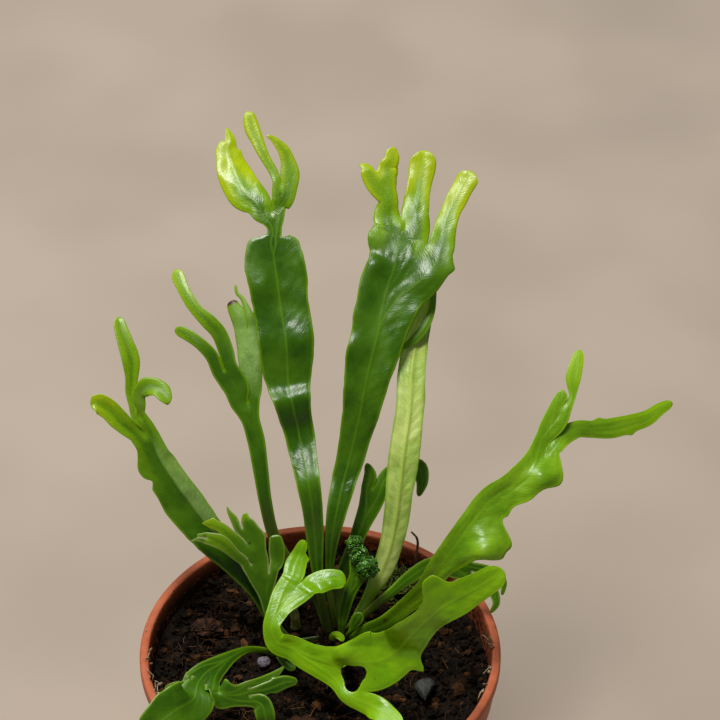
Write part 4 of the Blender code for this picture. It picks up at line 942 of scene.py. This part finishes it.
def makePot():
    collar, lipFoot = rimRadius - pot["collarInset"], potHeight - pot["lipHeight"]
    profile = [
        (0, pot["floor"]), *reversed(innerWall()),
        (rimRadius - pot["lipWidth"] + 0.2, potHeight), (rimRadius, potHeight),  # the lip's top
        (rimRadius, lipFoot), (collar, lipFoot - 0.4), (collar - 0.2, collarFoot + 0.2),
        (collar - pot["collarStep"], collarFoot - 0.8),
        (pot["baseRadius"], 1.0), (pot["baseRadius"] - 1.2, 0), (0, 0)]
    profile = refine(roundCorners(profile, pot["cornerRadius"]), 2.5)
    skin = meshOf("shell", lathe(profile, pot["steps"]), latheFaces(profile, pot["steps"]))
    shell = addObject("shell", skin)
    angle = np.arange(pot["drainHoles"]) * turn / pot["drainHoles"]
    centre = pot["drainCircle"] * np.stack([np.cos(angle), np.sin(angle)], -1)
    height = np.broadcast_to(np.linspace(-2, 4, 4)[None, :, None], (len(angle), 4, 1))
    paths = np.concatenate([np.repeat(centre[:, None], 4, axis=1), height], -1)
    holes, faces = tubes(paths, np.full(paths.shape[:2], pot["drainRadius"]), pot["drainSteps"])
    cutter = addObject("drainHoles", meshOf("drainHoles", holes, faces))
    cut = shell.modifiers.new("cut", "BOOLEAN")
    cut.object = cutter
    mesh = bpy.data.meshes.new_from_object(shell.evaluated_get(bpy.context.evaluated_depsgraph_get()))
    mesh.materials.clear()
    mesh.shade_smooth()
    mesh.set_sharp_from_angle(angle=math.radians(pot["sharpAngle"]))
    for thing in (shell, cutter):
        bpy.data.objects.remove(thing)
    return addPiece("plasticPot", mesh, makePotMaterial(), ["pot"])


def makePotMaterial():
    # satin plastic: a faint cloudiness, a worn rim, and soil smeared and splashed on the inside of the lip
    material, tree, shader = newMaterial("terracottaPlastic", **{"Specular IOR Level": 0.2})
    place = objectPlace(tree)
    split = addNode(tree, "ShaderNodeSeparateXYZ", {"Vector": place}).outputs
    flat = addNode(tree, "ShaderNodeCombineXYZ", {"X": split["X"], "Y": split["Y"]}).outputs[0]
    radius = addNode(tree, "ShaderNodeVectorMath", {0: flat}, operation="LENGTH").outputs["Value"]
    cloud = noise(tree, place, pot["cloudScale"], 3.0)
    grit = noise(tree, place, pot["gritScale"], 4.0)

    def below(low, high, start=0.0, end=1.0):  # eases between two depths under the rim
        return fade(tree, split["Z"], (potHeight - low) * mm, (potHeight - high) * mm, start, end)

    color = blendColors(tree, times(tree, fade(tree, cloud, 0.35, 0.7), 0.3), pot["color"], pot["worn"])
    wear = times(tree, below(*pot["wear"]), fade(tree, grit, 0.35, 0.65, 0.15, 0.6))
    color = blendColors(tree, wear, color, pot["worn"])
    inner, outer = ((rimRadius - depth) * mm for depth in pot["lipInside"])
    inside = fade(tree, radius, inner, outer, 1.0, 0.0)
    inside = times(tree, inside, below(*pot["smearFoot"]), below(*pot["smearFade"], 1.0, 0.3))
    patches = calc(tree, "ADD", grit, times(tree, cloud, 0.5))
    smear = times(tree, inside, fade(tree, patches, 0.62, 0.82))
    flecks = fade(tree, cells(tree, place, pot["fleckScale"]), 0.1, 0.16, 0.8, 0.0)
    flecks = times(tree, flecks, fade(tree, cloud, 0.5, 0.62), below(*pot["flecks"]))
    dirt = calc(tree, "MAXIMUM", smear, flecks)
    rough = timesPlus(tree, cloud, 0.16, timesPlus(tree, dirt, 0.4, 0.4))
    height = timesPlus(tree, dirt, 0.8, times(tree, grit, 0.25))
    finish(tree, shader, blendColors(tree, dirt, color, pot["dirt"]), rough, height, pot["bump"])
    return material


makePot()
print("pot: made, with", pot["drainHoles"], "drain holes")

# soil

soil = {
    "below": 4.4, "wave": 0.35, "steps": 420, "ringStep": 0.2, "reach": 27.4, "seed": 11,
    "backMound": dict(rise=2, x=4, y=21, spread=130),
    "heartMound": dict(rise=0.9, x=crownPlace[0], y=crownPlace[1], spread=50),
    # relief: (height, length, noise seed) of the larger and smaller clods and of the grains
    "clods": [(0.95, 4.6, 31), (0.6, 1.9, 32)], "grains": (0.3, 0.8, 33), "sunk": 0.35, "noRelief": 1.2,
    # chips are larger and lighter crumbs; a crumb's size is given by the mean and spread of its logarithm
    "crumbs": 3600, "crumbSize": (-1.05, 0.5), "crumbLimits": (0.12, 1.15), "crumbTone": (-0.35, 0.5),
    "crumbPull": (-0.35, 0.3), "crumbSquash": (0.55, 1.35), "crumbRise": 0.3, "crumbRows": 3, "crumbSteps": 6,
    "chips": 60, "chipSize": (0.4, 0.85), "chipTone": (0.2, 0.8),
    "fibres": 420, "fibreRows": 9, "fibreSides": 4, "fibreReach": 27.3, "tuftSpread": 2.3,
    "fibreLength": (1.5, 6), "fibreRadius": (0.035, 0.1),
    "fibreCurl": 1.3, "fibreLift": 0.35, "fibreTop": 1.6,
    "tufts": [(-19, 8.5), (-21, 2), (-14, -9), (-3, -14.5), (12.2, -15.5), (4, 12), (-17, 14), (0, -5)],
    "bedLook": dict(name="pottingSoil", dark=(0.002, 0.0014, 0.0008), light=(0.014, 0.007, 0.003),
                    speck=(0.1, 0.05, 0.02), size=330.0, specks=0.4),
    "crumbLook": dict(name="soilCrumb", dark=(0.002, 0.0013, 0.0006), light=(0.014, 0.0075, 0.0025),
                      speck=(0.16, 0.065, 0.022), tone=0.8),
    "fibreLook": dict(name="coirFibre", dark=(0.012, 0.005, 0.002), light=(0.06, 0.024, 0.009),
                      speck=(0.28, 0.14, 0.06), size=900.0, specks=0.15, rough=0.8, tone=0.5),
}
soilLevel = potHeight - soil["below"]


def soilHeight(x, y):
    # a level, mounded at the back and round the crown, with a gentle wave
    def mound(rise, spread, **middle):
        return rise * np.exp(-((x - middle["x"]) ** 2 + (y - middle["y"]) ** 2) / spread)

    mounds = soilLevel + mound(**soil["backMound"]) + mound(**soil["heartMound"])
    return mounds + soil["wave"] * np.sin(0.31 * x + 0.8) * np.cos(0.27 * y - 0.5)


def soilRelief(x, y):
    # clods of two lengths, and grains, each from its own part of the noise
    place = np.stack([x, y, 0 * x], -1)
    (high, long, seed), (low, short, other) = soil["clods"]
    rise, grain, third = soil["grains"]
    clods = high * valueNoise(place / long, seed) + low * valueNoise(place / short + 7, other)
    return clods + rise * layeredNoise(place / grain + 3, third) - soil["sunk"]


def makeSoilBed():
    # one closed skin: out over the top, down the pot's wall and in under the bottom; heights are from the
    # soil's level, and the relief dies down beside the wall
    wall = [(radius - 0.25, height - soilLevel) for radius, height in innerWall()[1:]]
    edge = wall[0][0] + 0.05
    top = refine([(0, 0), (edge, 0)], soil["ringStep"])
    under = refine([(edge, -1.5), *wall[1:], (0, pot["floor"] + 0.2 - soilLevel)], 3)
    profile = np.vstack([top, under])
    points = lathe(profile, soil["steps"])
    x, y = points[:, 0], points[:, 1]
    onTop = np.arange(len(points)) < 1 + (len(top) - 1) * soil["steps"]
    nearWall = ease((edge - np.hypot(x, y)) / soil["noRelief"])
    points[:, 2] += np.where(onTop, soilHeight(x, y) + soilRelief(x, y) * (0.4 + 0.6 * nearWall), soilLevel)
    mesh = meshOf("soilBed", points, latheFaces(profile, soil["steps"]))
    return addPiece("soilBed", mesh, makeEarth(**soil["bedLook"]), ["soil"])


def scatterOnSoil(random, count, reach=soil["reach"], heart=2.6):
    # places spread evenly over the soil, outside the crown
    radius = np.sqrt(random.uniform((heart / reach) ** 2, 1, count)) * reach
    angle = random.uniform(0, turn, count)
    x, y = radius * np.cos(angle), radius * np.sin(angle)
    return np.stack([x, y, soilHeight(x, y) + soilRelief(x, y)], -1)


def makeCrumbs():
    # each crumb is a ball of few points, pulled about at random, flattened and turned
    random = np.random.default_rng(soil["seed"])
    count, chips, rows, steps = (soil[label] for label in ("crumbs", "chips", "crumbRows", "crumbSteps"))
    size = np.clip(random.lognormal(*soil["crumbSize"], count), *soil["crumbLimits"])
    size[:chips] = random.uniform(*soil["chipSize"], chips)
    ball = ballPoints(rows, steps)
    each = len(ball)
    ball = ball * (1 + random.uniform(*soil["crumbPull"], (count, each, 1)))
    ball = ball * random.uniform(*soil["crumbSquash"], (count, 1, 3)) * size[:, None, None]
    first, other = randomDirections(random, count), randomDirections(random, count)
    second = unit(np.cross(first, other))
    ball = ball @ np.stack([first, second, np.cross(first, second)], 1)
    place = scatterOnSoil(random, count)
    place[:, 2] += size * soil["crumbRise"]
    faces = [face for n in range(count) for face in wrapFaces(rows, steps, n * each)]
    tone = np.clip(random.normal(*soil["crumbTone"], count), 0, 1)
    tone[:chips] = random.uniform(*soil["chipTone"], chips)
    points = (ball + place[:, None]).reshape(-1, 3)
    mesh = meshOf("soilCrumbs", points, faces, {"tone": np.repeat(tone, each)}, smooth=False)
    return addPiece("soilCrumbs", mesh, makeEarth(**soil["crumbLook"]))


def curlyPaths(random, starts, lengths, rows, curl, lift):
    # paths that set off level in a random direction and keep turning at their own rate, with a small rise
    count = len(starts)
    angle = random.uniform(0, turn, count)[:, None]
    angle = angle + np.linspace(0, 1, rows) * random.normal(0, curl, (count, 1))
    step = np.asarray(lengths)[:, None] / (rows - 1)
    run = np.stack([np.cos(angle), np.sin(angle), 0 * angle], -1) * step[..., None]
    rise = random.normal(0, lift, (count, 1))
    rise = rise * np.sin(np.linspace(0, np.pi, rows) * random.uniform(0.5, 2, (count, 1)))
    paths = starts[:, None] + np.cumsum(run, axis=1) - run[:, :1]
    paths[..., 2] += rise
    return paths


def makeFibres():
    # coir fibres: fine round threads that lie over the soil, closer together in a few tufts
    random = np.random.default_rng(soil["seed"] + 1)
    rows, sides = soil["fibreRows"], soil["fibreSides"]
    loose = scatterOnSoil(random, soil["fibres"] // 2, 25)
    tufts, tufted = np.array(soil["tufts"]), soil["fibres"] - len(loose)
    xy = tufts[random.integers(0, len(tufts), tufted)] + random.normal(0, soil["tuftSpread"], (tufted, 2))
    height = soilHeight(*xy.T) + random.uniform(0.1, 1.3, tufted)
    starts = np.concatenate([loose + [0, 0, 0.15], np.column_stack([xy, height])])
    lengths = random.uniform(*soil["fibreLength"], len(starts))
    paths = curlyPaths(random, starts, lengths, rows, soil["fibreCurl"], soil["fibreLift"])
    reach = np.hypot(paths[..., 0], paths[..., 1])
    paths[..., :2] *= np.minimum(1, soil["fibreReach"] / reach)[..., None]
    ground = soilHeight(paths[..., 0], paths[..., 1]) + 0.6 * soilRelief(paths[..., 0], paths[..., 1])
    paths[..., 2] = np.clip(paths[..., 2], ground, ground + soil["fibreTop"])
    thick = random.uniform(*soil["fibreRadius"], (len(starts), 1)) * (1 - 0.6 * np.linspace(-1, 1, rows) ** 2)
    points, faces = tubes(paths, thick, sides)
    tone = np.repeat(random.uniform(0, 1, len(starts)) ** 2.5, rows * sides + 2)
    mesh = meshOf("coirFibres", points, faces, {"tone": tone})
    return addPiece("coirFibres", mesh, makeEarth(**soil["fibreLook"]))


makeSoilBed()
makeCrumbs()
makeFibres()
print("soil: bed,", soil["crumbs"], "crumbs and", soil["fibres"], "fibres")

# loose bark, stones and moss, each fitted to the box of its solid

looseRows, looseSteps = 46, 72
barkForm = dict(slot="bark", lumps=0.3, grain=(0.5, 1.8), look="bark")  # grain: across and along
loose = {
    "barkLeft": dict(node="bark_left", heading=35, **barkForm),
    "barkFront": dict(node="bark_front", heading=-20, **barkForm),
    "barkRight": dict(node="bark_right", heading=60, **barkForm),
    "greyPebble": dict(
        node="pebble_grey", heading=10, slot="grey_stone", lumps=0.1, grain=(1.2, 1.2), look="slate"),
    "paleStone": dict(
        node="stone_pale", heading=0, slot="pale_stone", lumps=0.12, grain=(1.1, 1.1), look="pale"),
    "mossPatch": dict(node="moss_patch", heading=15, slot="moss", lumps=0.22, grain=(1, 1), look="moss"),
}
looseMaterials = {
    "bark": makeEarth(
        "rottedBark", (0.012, 0.006, 0.0035), (0.085, 0.036, 0.018), (0.2, 0.1, 0.05), specks=0.5),
    "slate": makeEarth(
        "greyStone", (0.02, 0.021, 0.02), (0.065, 0.067, 0.062), (0.25, 0.25, 0.22),
        size=260.0, rough=0.6, bump=0.0002),
    "pale": makeEarth(
        "paleStone", (0.1, 0.09, 0.11), (0.26, 0.24, 0.28), (0.4, 0.38, 0.4), rough=0.45, bump=0.0002),
    "moss": makeEarth(
        "mossGround", (0.02, 0.02, 0.006), (0.09, 0.1, 0.025), (0.2, 0.22, 0.06), specks=0.5),
}


def makeLoose(name, node, slot, heading, lumps, grain, look):
    # a ball roughened by noise that is longer along the piece's own length, and then scaled to fill the
    # box of its solid
    low, high = boxOf(node)
    way = ballPoints(looseRows, looseSteps)
    cos, sin = math.cos(math.radians(heading)), math.sin(math.radians(heading))
    along = way @ np.array([[cos, sin, 0], [-sin, cos, 0], [0, 0, 1]]).T
    fine, long = grain
    place = along * (high - low).max() / 2 / np.array([long, fine, fine])
    seed = sum(map(ord, name))
    rough = 1 + lumps * layeredNoise(place, seed, 4) + 0.25 * lumps * valueNoise(place * 5, seed + 9)
    shape = way * rough[:, None]
    if look == "slate":  # a worn flat face, narrowing towards the front
        face = 0.9 / np.maximum(0.3, np.abs(along @ unit(np.array([0.3, -0.5, 0.8]))))
        shape = unit(shape) * np.minimum(np.linalg.norm(shape, axis=1), face)[:, None]
        shape[:, 0] = (shape[:, 0] + 0.25 * shape[:, 1] ** 2) * (0.55 + 0.4 * shape[:, 1])
    shape = (shape - shape.min(0)) / (shape.max(0) - shape.min(0))
    mesh = meshOf(name, low + shape * (high - low), wrapFaces(looseRows, looseSteps))
    return addPiece(name, mesh, looseMaterials[look], [node])


for name, facts in loose.items():
    makeLoose(name, **facts)

mossTuft = {
    "count": 700, "spread": 0.62, "reach": 27, "seed": 41,
    "long": (0.5, 1.3), "wide": (0.12, 0.25), "thick": 0.025, "curl": 0.3, "cup": 0.5,
    "look": dict(name="mossLeaf", dark=(0.035, 0.05, 0.01), light=(0.1, 0.13, 0.025),
                 speck=(0.24, 0.27, 0.06), size=600.0, specks=0.1, rough=0.6, bump=0.0001, tone=0.7),
}


def makeMossLeaves():
    # short pointed leaves that stand on the patch and thin out over the soil round it
    random = np.random.default_rng(mossTuft["seed"])
    low, high = boxOf("moss_patch")
    middle, half = (low + high) / 2, (high - low) / 2
    spread = random.normal(0, mossTuft["spread"], (mossTuft["count"], 2))
    within = (spread**2).sum(1)
    xy = middle[:2] + spread * half[:2]
    keep = np.hypot(*xy.T) < mossTuft["reach"]
    xy, within = xy[keep], within[keep]
    count = len(xy)
    dome = middle[2] + half[2] * np.sqrt(np.clip(1 - within, 0, 1)) * 0.8
    height = np.where(within < 0.9, dome, soilHeight(*xy.T) + 0.5 * soilRelief(*xy.T))
    headings = randomDirections(random, count) * [1, 1, 0.6] + [0, 0, 0.55]
    places = np.column_stack([xy, height])
    return addLittleLeaves(
        "mossLeaves", random, mossTuft, places, headings, randomDirections(random, count))


makeMossLeaves()
print("loose pieces:", len(loose), "and moss leaves")

# crown

crown = {
    "profile": [(0, 0.3), (0.9, 0.2), (1.7, -0.3), (2.2, -1.2), (2.6, -2.6), (2.8, -4.2), (2.5, -5.8),
                (1.6, -6.7), (0, -7)],
    "steps": 96, "middle": -3, "roughness": 0.12, "lump": 0.6, "seed": 61,
    "look": dict(name="rhizomeBark", dark=(0.012, 0.007, 0.004), light=(0.06, 0.033, 0.017),
                 speck=(0.16, 0.1, 0.05), size=900.0),
}
scale = {
    "count": 260, "levels": (-3.2, 0.2), "outward": (0.1, 0.9), "scatter": 0.25,
    "depths": [0, 0.3, 1.2, 2.6, 4.2], "radii": [1.2, 1.7, 2.2, 2.6, 2.8],
    "long": (0.7, 1.9), "wide": (0.12, 0.26), "thick": 0.02, "curl": 0.25, "cup": -0.3,
    "look": dict(name="crownScale", dark=(0.014, 0.007, 0.004), light=(0.06, 0.028, 0.014),
                 speck=(0.16, 0.085, 0.04), size=900.0, specks=0.2, rough=0.55, tone=0.6),
}


def makeCrown():
    # the turned shape, roughened outwards from its middle, and narrow dark scales that point up and out
    profile, steps = refine(crown["profile"], 0.15), crown["steps"]
    points = lathe(profile, steps)
    out = unit(points - [0, 0, crown["middle"]])
    relief = crown["roughness"] * layeredNoise(points / crown["lump"], crown["seed"] + 1)
    points = crownPlace + points + out * relief[:, None]
    mesh = meshOf("crownBody", points, latheFaces(profile, steps))
    addPiece("crownBody", mesh, makeEarth(**crown["look"]), ["crown"])
    random, count = np.random.default_rng(crown["seed"]), scale["count"]
    angle = random.uniform(0, turn, count)
    level = random.uniform(*scale["levels"], count)
    radius = np.interp(-level, scale["depths"], scale["radii"]) + 0.05
    outward = np.stack([np.cos(angle), np.sin(angle), 0 * angle], -1)
    places = crownPlace + outward * radius[:, None] + np.stack([0 * level, 0 * level, level], -1)
    headings = outward * random.uniform(*scale["outward"], (count, 1)) + [0, 0, 1]
    headings = headings + random.normal(0, scale["scatter"], (count, 3))
    addLittleLeaves("crownScales", random, scale, places, headings, outward)


makeCrown()
print("crown: body and", scale["count"], "scales")

# the crozier's crisped crests

crests = {
    # each ball's place as (right, up the fan, forward) and its radius
    "balls": [(3.4, 15.8, 1.5, 1.0), (4.0, 14.0, 1.8, 1.3), (5.4, 11.9, 3.1, 1.7)],
    "rows": 70, "steps": 110, "body": 0.86, "lumps": 0.15, "ridgeLength": 0.55, "fineLength": 0.27,
    "curls": 120, "curlsAt": 0.84, "seed": 71,
    "long": (0.5, 1.1), "wide": (0.14, 0.32), "thick": 0.045, "curl": -0.5, "cup": 0.9,
    "dark": (0.02, 0.1, 0.001), "light": (0.09, 0.3, 0.006), "grainScale": 1300.0, "bump": 0.0002,
}


def makeCrests():
    # each crest is a ball that ridged noise has crumpled, covered with small cupped curls of blade
    random, count = np.random.default_rng(crests["seed"]), crests["curls"]
    points, faces = np.zeros((0, 3)), []
    for right, up, forward, radius in crests["balls"]:
        middle = fromFan([(right, up, forward)])[0]
        way = ballPoints(crests["rows"], crests["steps"])
        ridges = 1 - 2 * np.abs(valueNoise(way * radius / crests["ridgeLength"] + right, crests["seed"] + 1))
        fine = valueNoise(way * radius / crests["fineLength"] + right, crests["seed"] + 2)
        relief = crests["body"] + crests["lumps"] * (0.6 * ridges + 0.4 * fine)
        faces += wrapFaces(crests["rows"], crests["steps"], len(points))
        points = np.concatenate([points, middle + way * (radius * relief)[:, None]])
        outward = randomDirections(random, count)
        headings = np.cross(outward, randomDirections(random, count)) + 0.7 * outward
        places = middle + outward * radius * crests["curlsAt"]
        curls, more = littleLeaves(random, crests, places, headings, outward, 5, 4)
        faces += (more + len(points)).tolist()
        points = np.concatenate([points, curls])
    mesh = meshOf("crozierCrests", points, faces)
    return addPiece("crozierCrests", mesh, makeCrestMaterial(), ["frond_crozier"])


def makeCrestMaterial():
    # a moist dark green, mottled finely, with a thin coat
    material, tree, shader = newMaterial("crispedGreen", **{
        "Coat Weight": 0.3, "Coat Roughness": 0.1, "Subsurface Weight": 0.1, "Subsurface Scale": 0.0006})
    mottle = noise(tree, objectPlace(tree), crests["grainScale"], 3.0)
    color = blendColors(tree, fade(tree, mottle, 0.35, 0.7), crests["dark"], crests["light"])
    finish(tree, shader, color, timesPlus(tree, mottle, 0.3, 0.1), mottle, crests["bump"])
    return material


makeCrests()
print("crests:", len(crests["balls"]))

# round stems

stemRows, stemSteps = 40, 20
stemUneven, stemRelief = (0.1, 0.8), (0.04, 0.3)  # each a share or height, and the length it changes over
stems = {
    "oldStub": dict(
        node="stub_old", slot="old_stub", radius=(0.8, 0.7),
        path=[(-4.3, 8.6, 50.5), (-4.3, 8.7, 52.6), (-4.7, 8.9, 54.9)],
        look=((0.24, 0.26, 0.05), (0.55, 0.56, 0.2), (0.2, 0.12, 0.05))),
    "deadStem": dict(
        node="stem_dead", slot="dead_stem", radius=(0.3, 0.2),
        path=[(-6.3, 8.3, 50.4), (-6.5, 8.4, 52.4), (-6.0, 8.6, 54)],
        look=((0.02, 0.01, 0.006), (0.09, 0.05, 0.03), (0.2, 0.13, 0.08))),
    "seedling": dict(
        node="seedling", slot="seedling_stem", radius=(0.32, 0.16),
        path=[(16.2, 22.2, 50.7), (16.2, 22.6, 53.4), (16.7, 23.4, 56.8), (15.4, 23.8, 58.2)],
        look=((0.12, 0.06, 0.035), (0.28, 0.16, 0.09), (0.25, 0.27, 0.08))),
}


def smoothPath(points, rows):
    # a quadratic B-spline that starts and ends at the path's ends
    points = np.asarray(points, float)
    points = np.vstack([2 * points[0] - points[1], points, 2 * points[-1] - points[-2]])
    at = np.linspace(0.5, len(points) - 2.5, rows)
    part = np.minimum(np.floor(at).astype(int), len(points) - 3)
    t = (at - part)[:, None]
    before, middle, after = (points[part + n] for n in range(3))
    return 0.5 * (1 - t) ** 2 * before + (0.5 + t - t**2) * middle + 0.5 * t**2 * after


def makeStem(name, node, slot, radius, path, look):
    # a tube along its path, tapered, a little uneven in thickness and finely roughened
    path = smoothPath(path, stemRows)
    share, spell = stemUneven
    thick = np.linspace(*radius, stemRows) * (1 + share * valueNoise(path / spell, 81))
    points, faces = tubes(path[None], thick[None], stemSteps)
    rise, grain = stemRelief
    points += unit(points - path.mean(0)) * (rise * valueNoise(points / grain, 82))[:, None]
    material = makeEarth(f"{name}Skin", *look, size=700.0, specks=0.4, rough=0.55, bump=0.0001)
    addPiece(name, meshOf(name, points, faces), material, [node])


for name, stem in stems.items():
    makeStem(name, **stem)
print("stems:", len(stems))

# straw and crumbs that cling to the rim

debris = {
    "places": [(29, 1), (27.6, -8.5), (28.6, -4), (-29.2, 5.3), (-29.2, -1.5), (-27.6, -7.8), (26, 12.5)],
    "each": 9, "seed": 91, "spread": 1.1, "inward": (0.1, 0.9), "below": (-0.1, 1.4), "skew": 0.8,
    "long": (0.4, 1.7), "wide": (0.08, 0.26), "thick": 0.05, "curl": 0.1, "cup": 0.2,
    "look": dict(name="dryStraw", dark=(0.1, 0.05, 0.025), light=(0.36, 0.25, 0.13), speck=(0.62, 0.52, 0.36),
                 size=900.0, rough=0.75, bump=0.0001, tone=0.8),
}


def makeDebris():
    # narrow bits scattered along the rim and just inside it, most of them lying along it
    random = np.random.default_rng(debris["seed"])
    middles = np.repeat([(x, y, 0) for x, y in debris["places"]], debris["each"], axis=0)
    count = len(middles)
    tangent, inward = unit(np.cross(middles, (0, 0, 1))), -unit(middles)
    places = middles + tangent * random.normal(0, debris["spread"], (count, 1))
    places = places + inward * random.uniform(*debris["inward"], (count, 1))
    places[:, 2] = potHeight - random.uniform(*debris["below"], count)
    headings = tangent * random.choice([-1, 1], (count, 1)) + randomDirections(random, count) * debris["skew"]
    return addLittleLeaves("rimStraw", random, debris, places, headings, inward + [0, 0, 0.6])


makeDebris()
print("straw:", len(debris["places"]) * debris["each"], "bits on the rim")

# stage, light and camera

stage = {
    "floor": (0.515, 0.43, 0.352), "floorDark": (0.45, 0.375, 0.305), "floorScale": 22.0, "size": 3.0,
    "lamps": {
        "overhead": dict(place=(-0.14, 0.06, 0.88), size=0.28, power=5.3),
        "behind": dict(place=(-0.3, 0.45, 0.7), size=0.4, power=2.2),
    },
    "lampColor": (1.0, 0.99, 0.96), "aim": 20,  # the lamps face this many millimetres above the rim
    "world": (1.0, 0.98, 0.95, 1), "worldStrength": 0.12,
    "view": (0.0066, -0.3495, 0.3588), "pitch": 49.75, "lens": 150, "sensor": 36,
}


def makeStage():
    half = stage["size"] / 2 / mm
    points = [(-half, -half, 0), (half, -half, 0), (half, half, 0), (-half, half, 0)]
    floor = addObject("floor", meshOf("floor", points, [(0, 1, 2, 3)]))
    material, tree, shader = newMaterial("paleFloor", **{"Roughness": 0.9, "Specular IOR Level": 0.2})
    patches = fade(tree, noise(tree, objectPlace(tree), stage["floorScale"], 1.5), 0.3, 0.7)
    color = blendColors(tree, patches, stage["floorDark"], stage["floor"])
    tree.links.new(color, shader.inputs["Base Color"])
    floor.data.materials.append(material)
    target = Vector((0, 0, (potHeight + stage["aim"]) * mm))
    for name, lamp in stage["lamps"].items():
        light = bpy.data.lights.new(name, "AREA")
        light.shape, light.size = "DISK", lamp["size"]
        light.energy, light.color = lamp["power"], stage["lampColor"]
        stand = addObject(name, light)
        stand.location = lamp["place"]
        stand.rotation_euler = (target - stand.location).to_track_quat("-Z", "Y").to_euler()
    world = bpy.data.worlds.new("studio")
    world.use_nodes = True
    background = world.node_tree.nodes["Background"]
    background.inputs["Color"].default_value = stage["world"]
    background.inputs["Strength"].default_value = stage["worldStrength"]
    bpy.context.scene.world = world
    camera = addObject("camera", bpy.data.cameras.new("camera"))
    camera.data.lens, camera.data.sensor_width = stage["lens"], stage["sensor"]
    camera.location = Vector(stage["view"]) + Vector((0, 0, potHeight * mm))
    camera.rotation_euler = (math.radians(stage["pitch"]), 0, 0)
    bpy.context.scene.camera = camera
    bpy.context.scene.view_settings.view_transform = "Standard"


makeStage()
print("stage, lamps and camera: set")
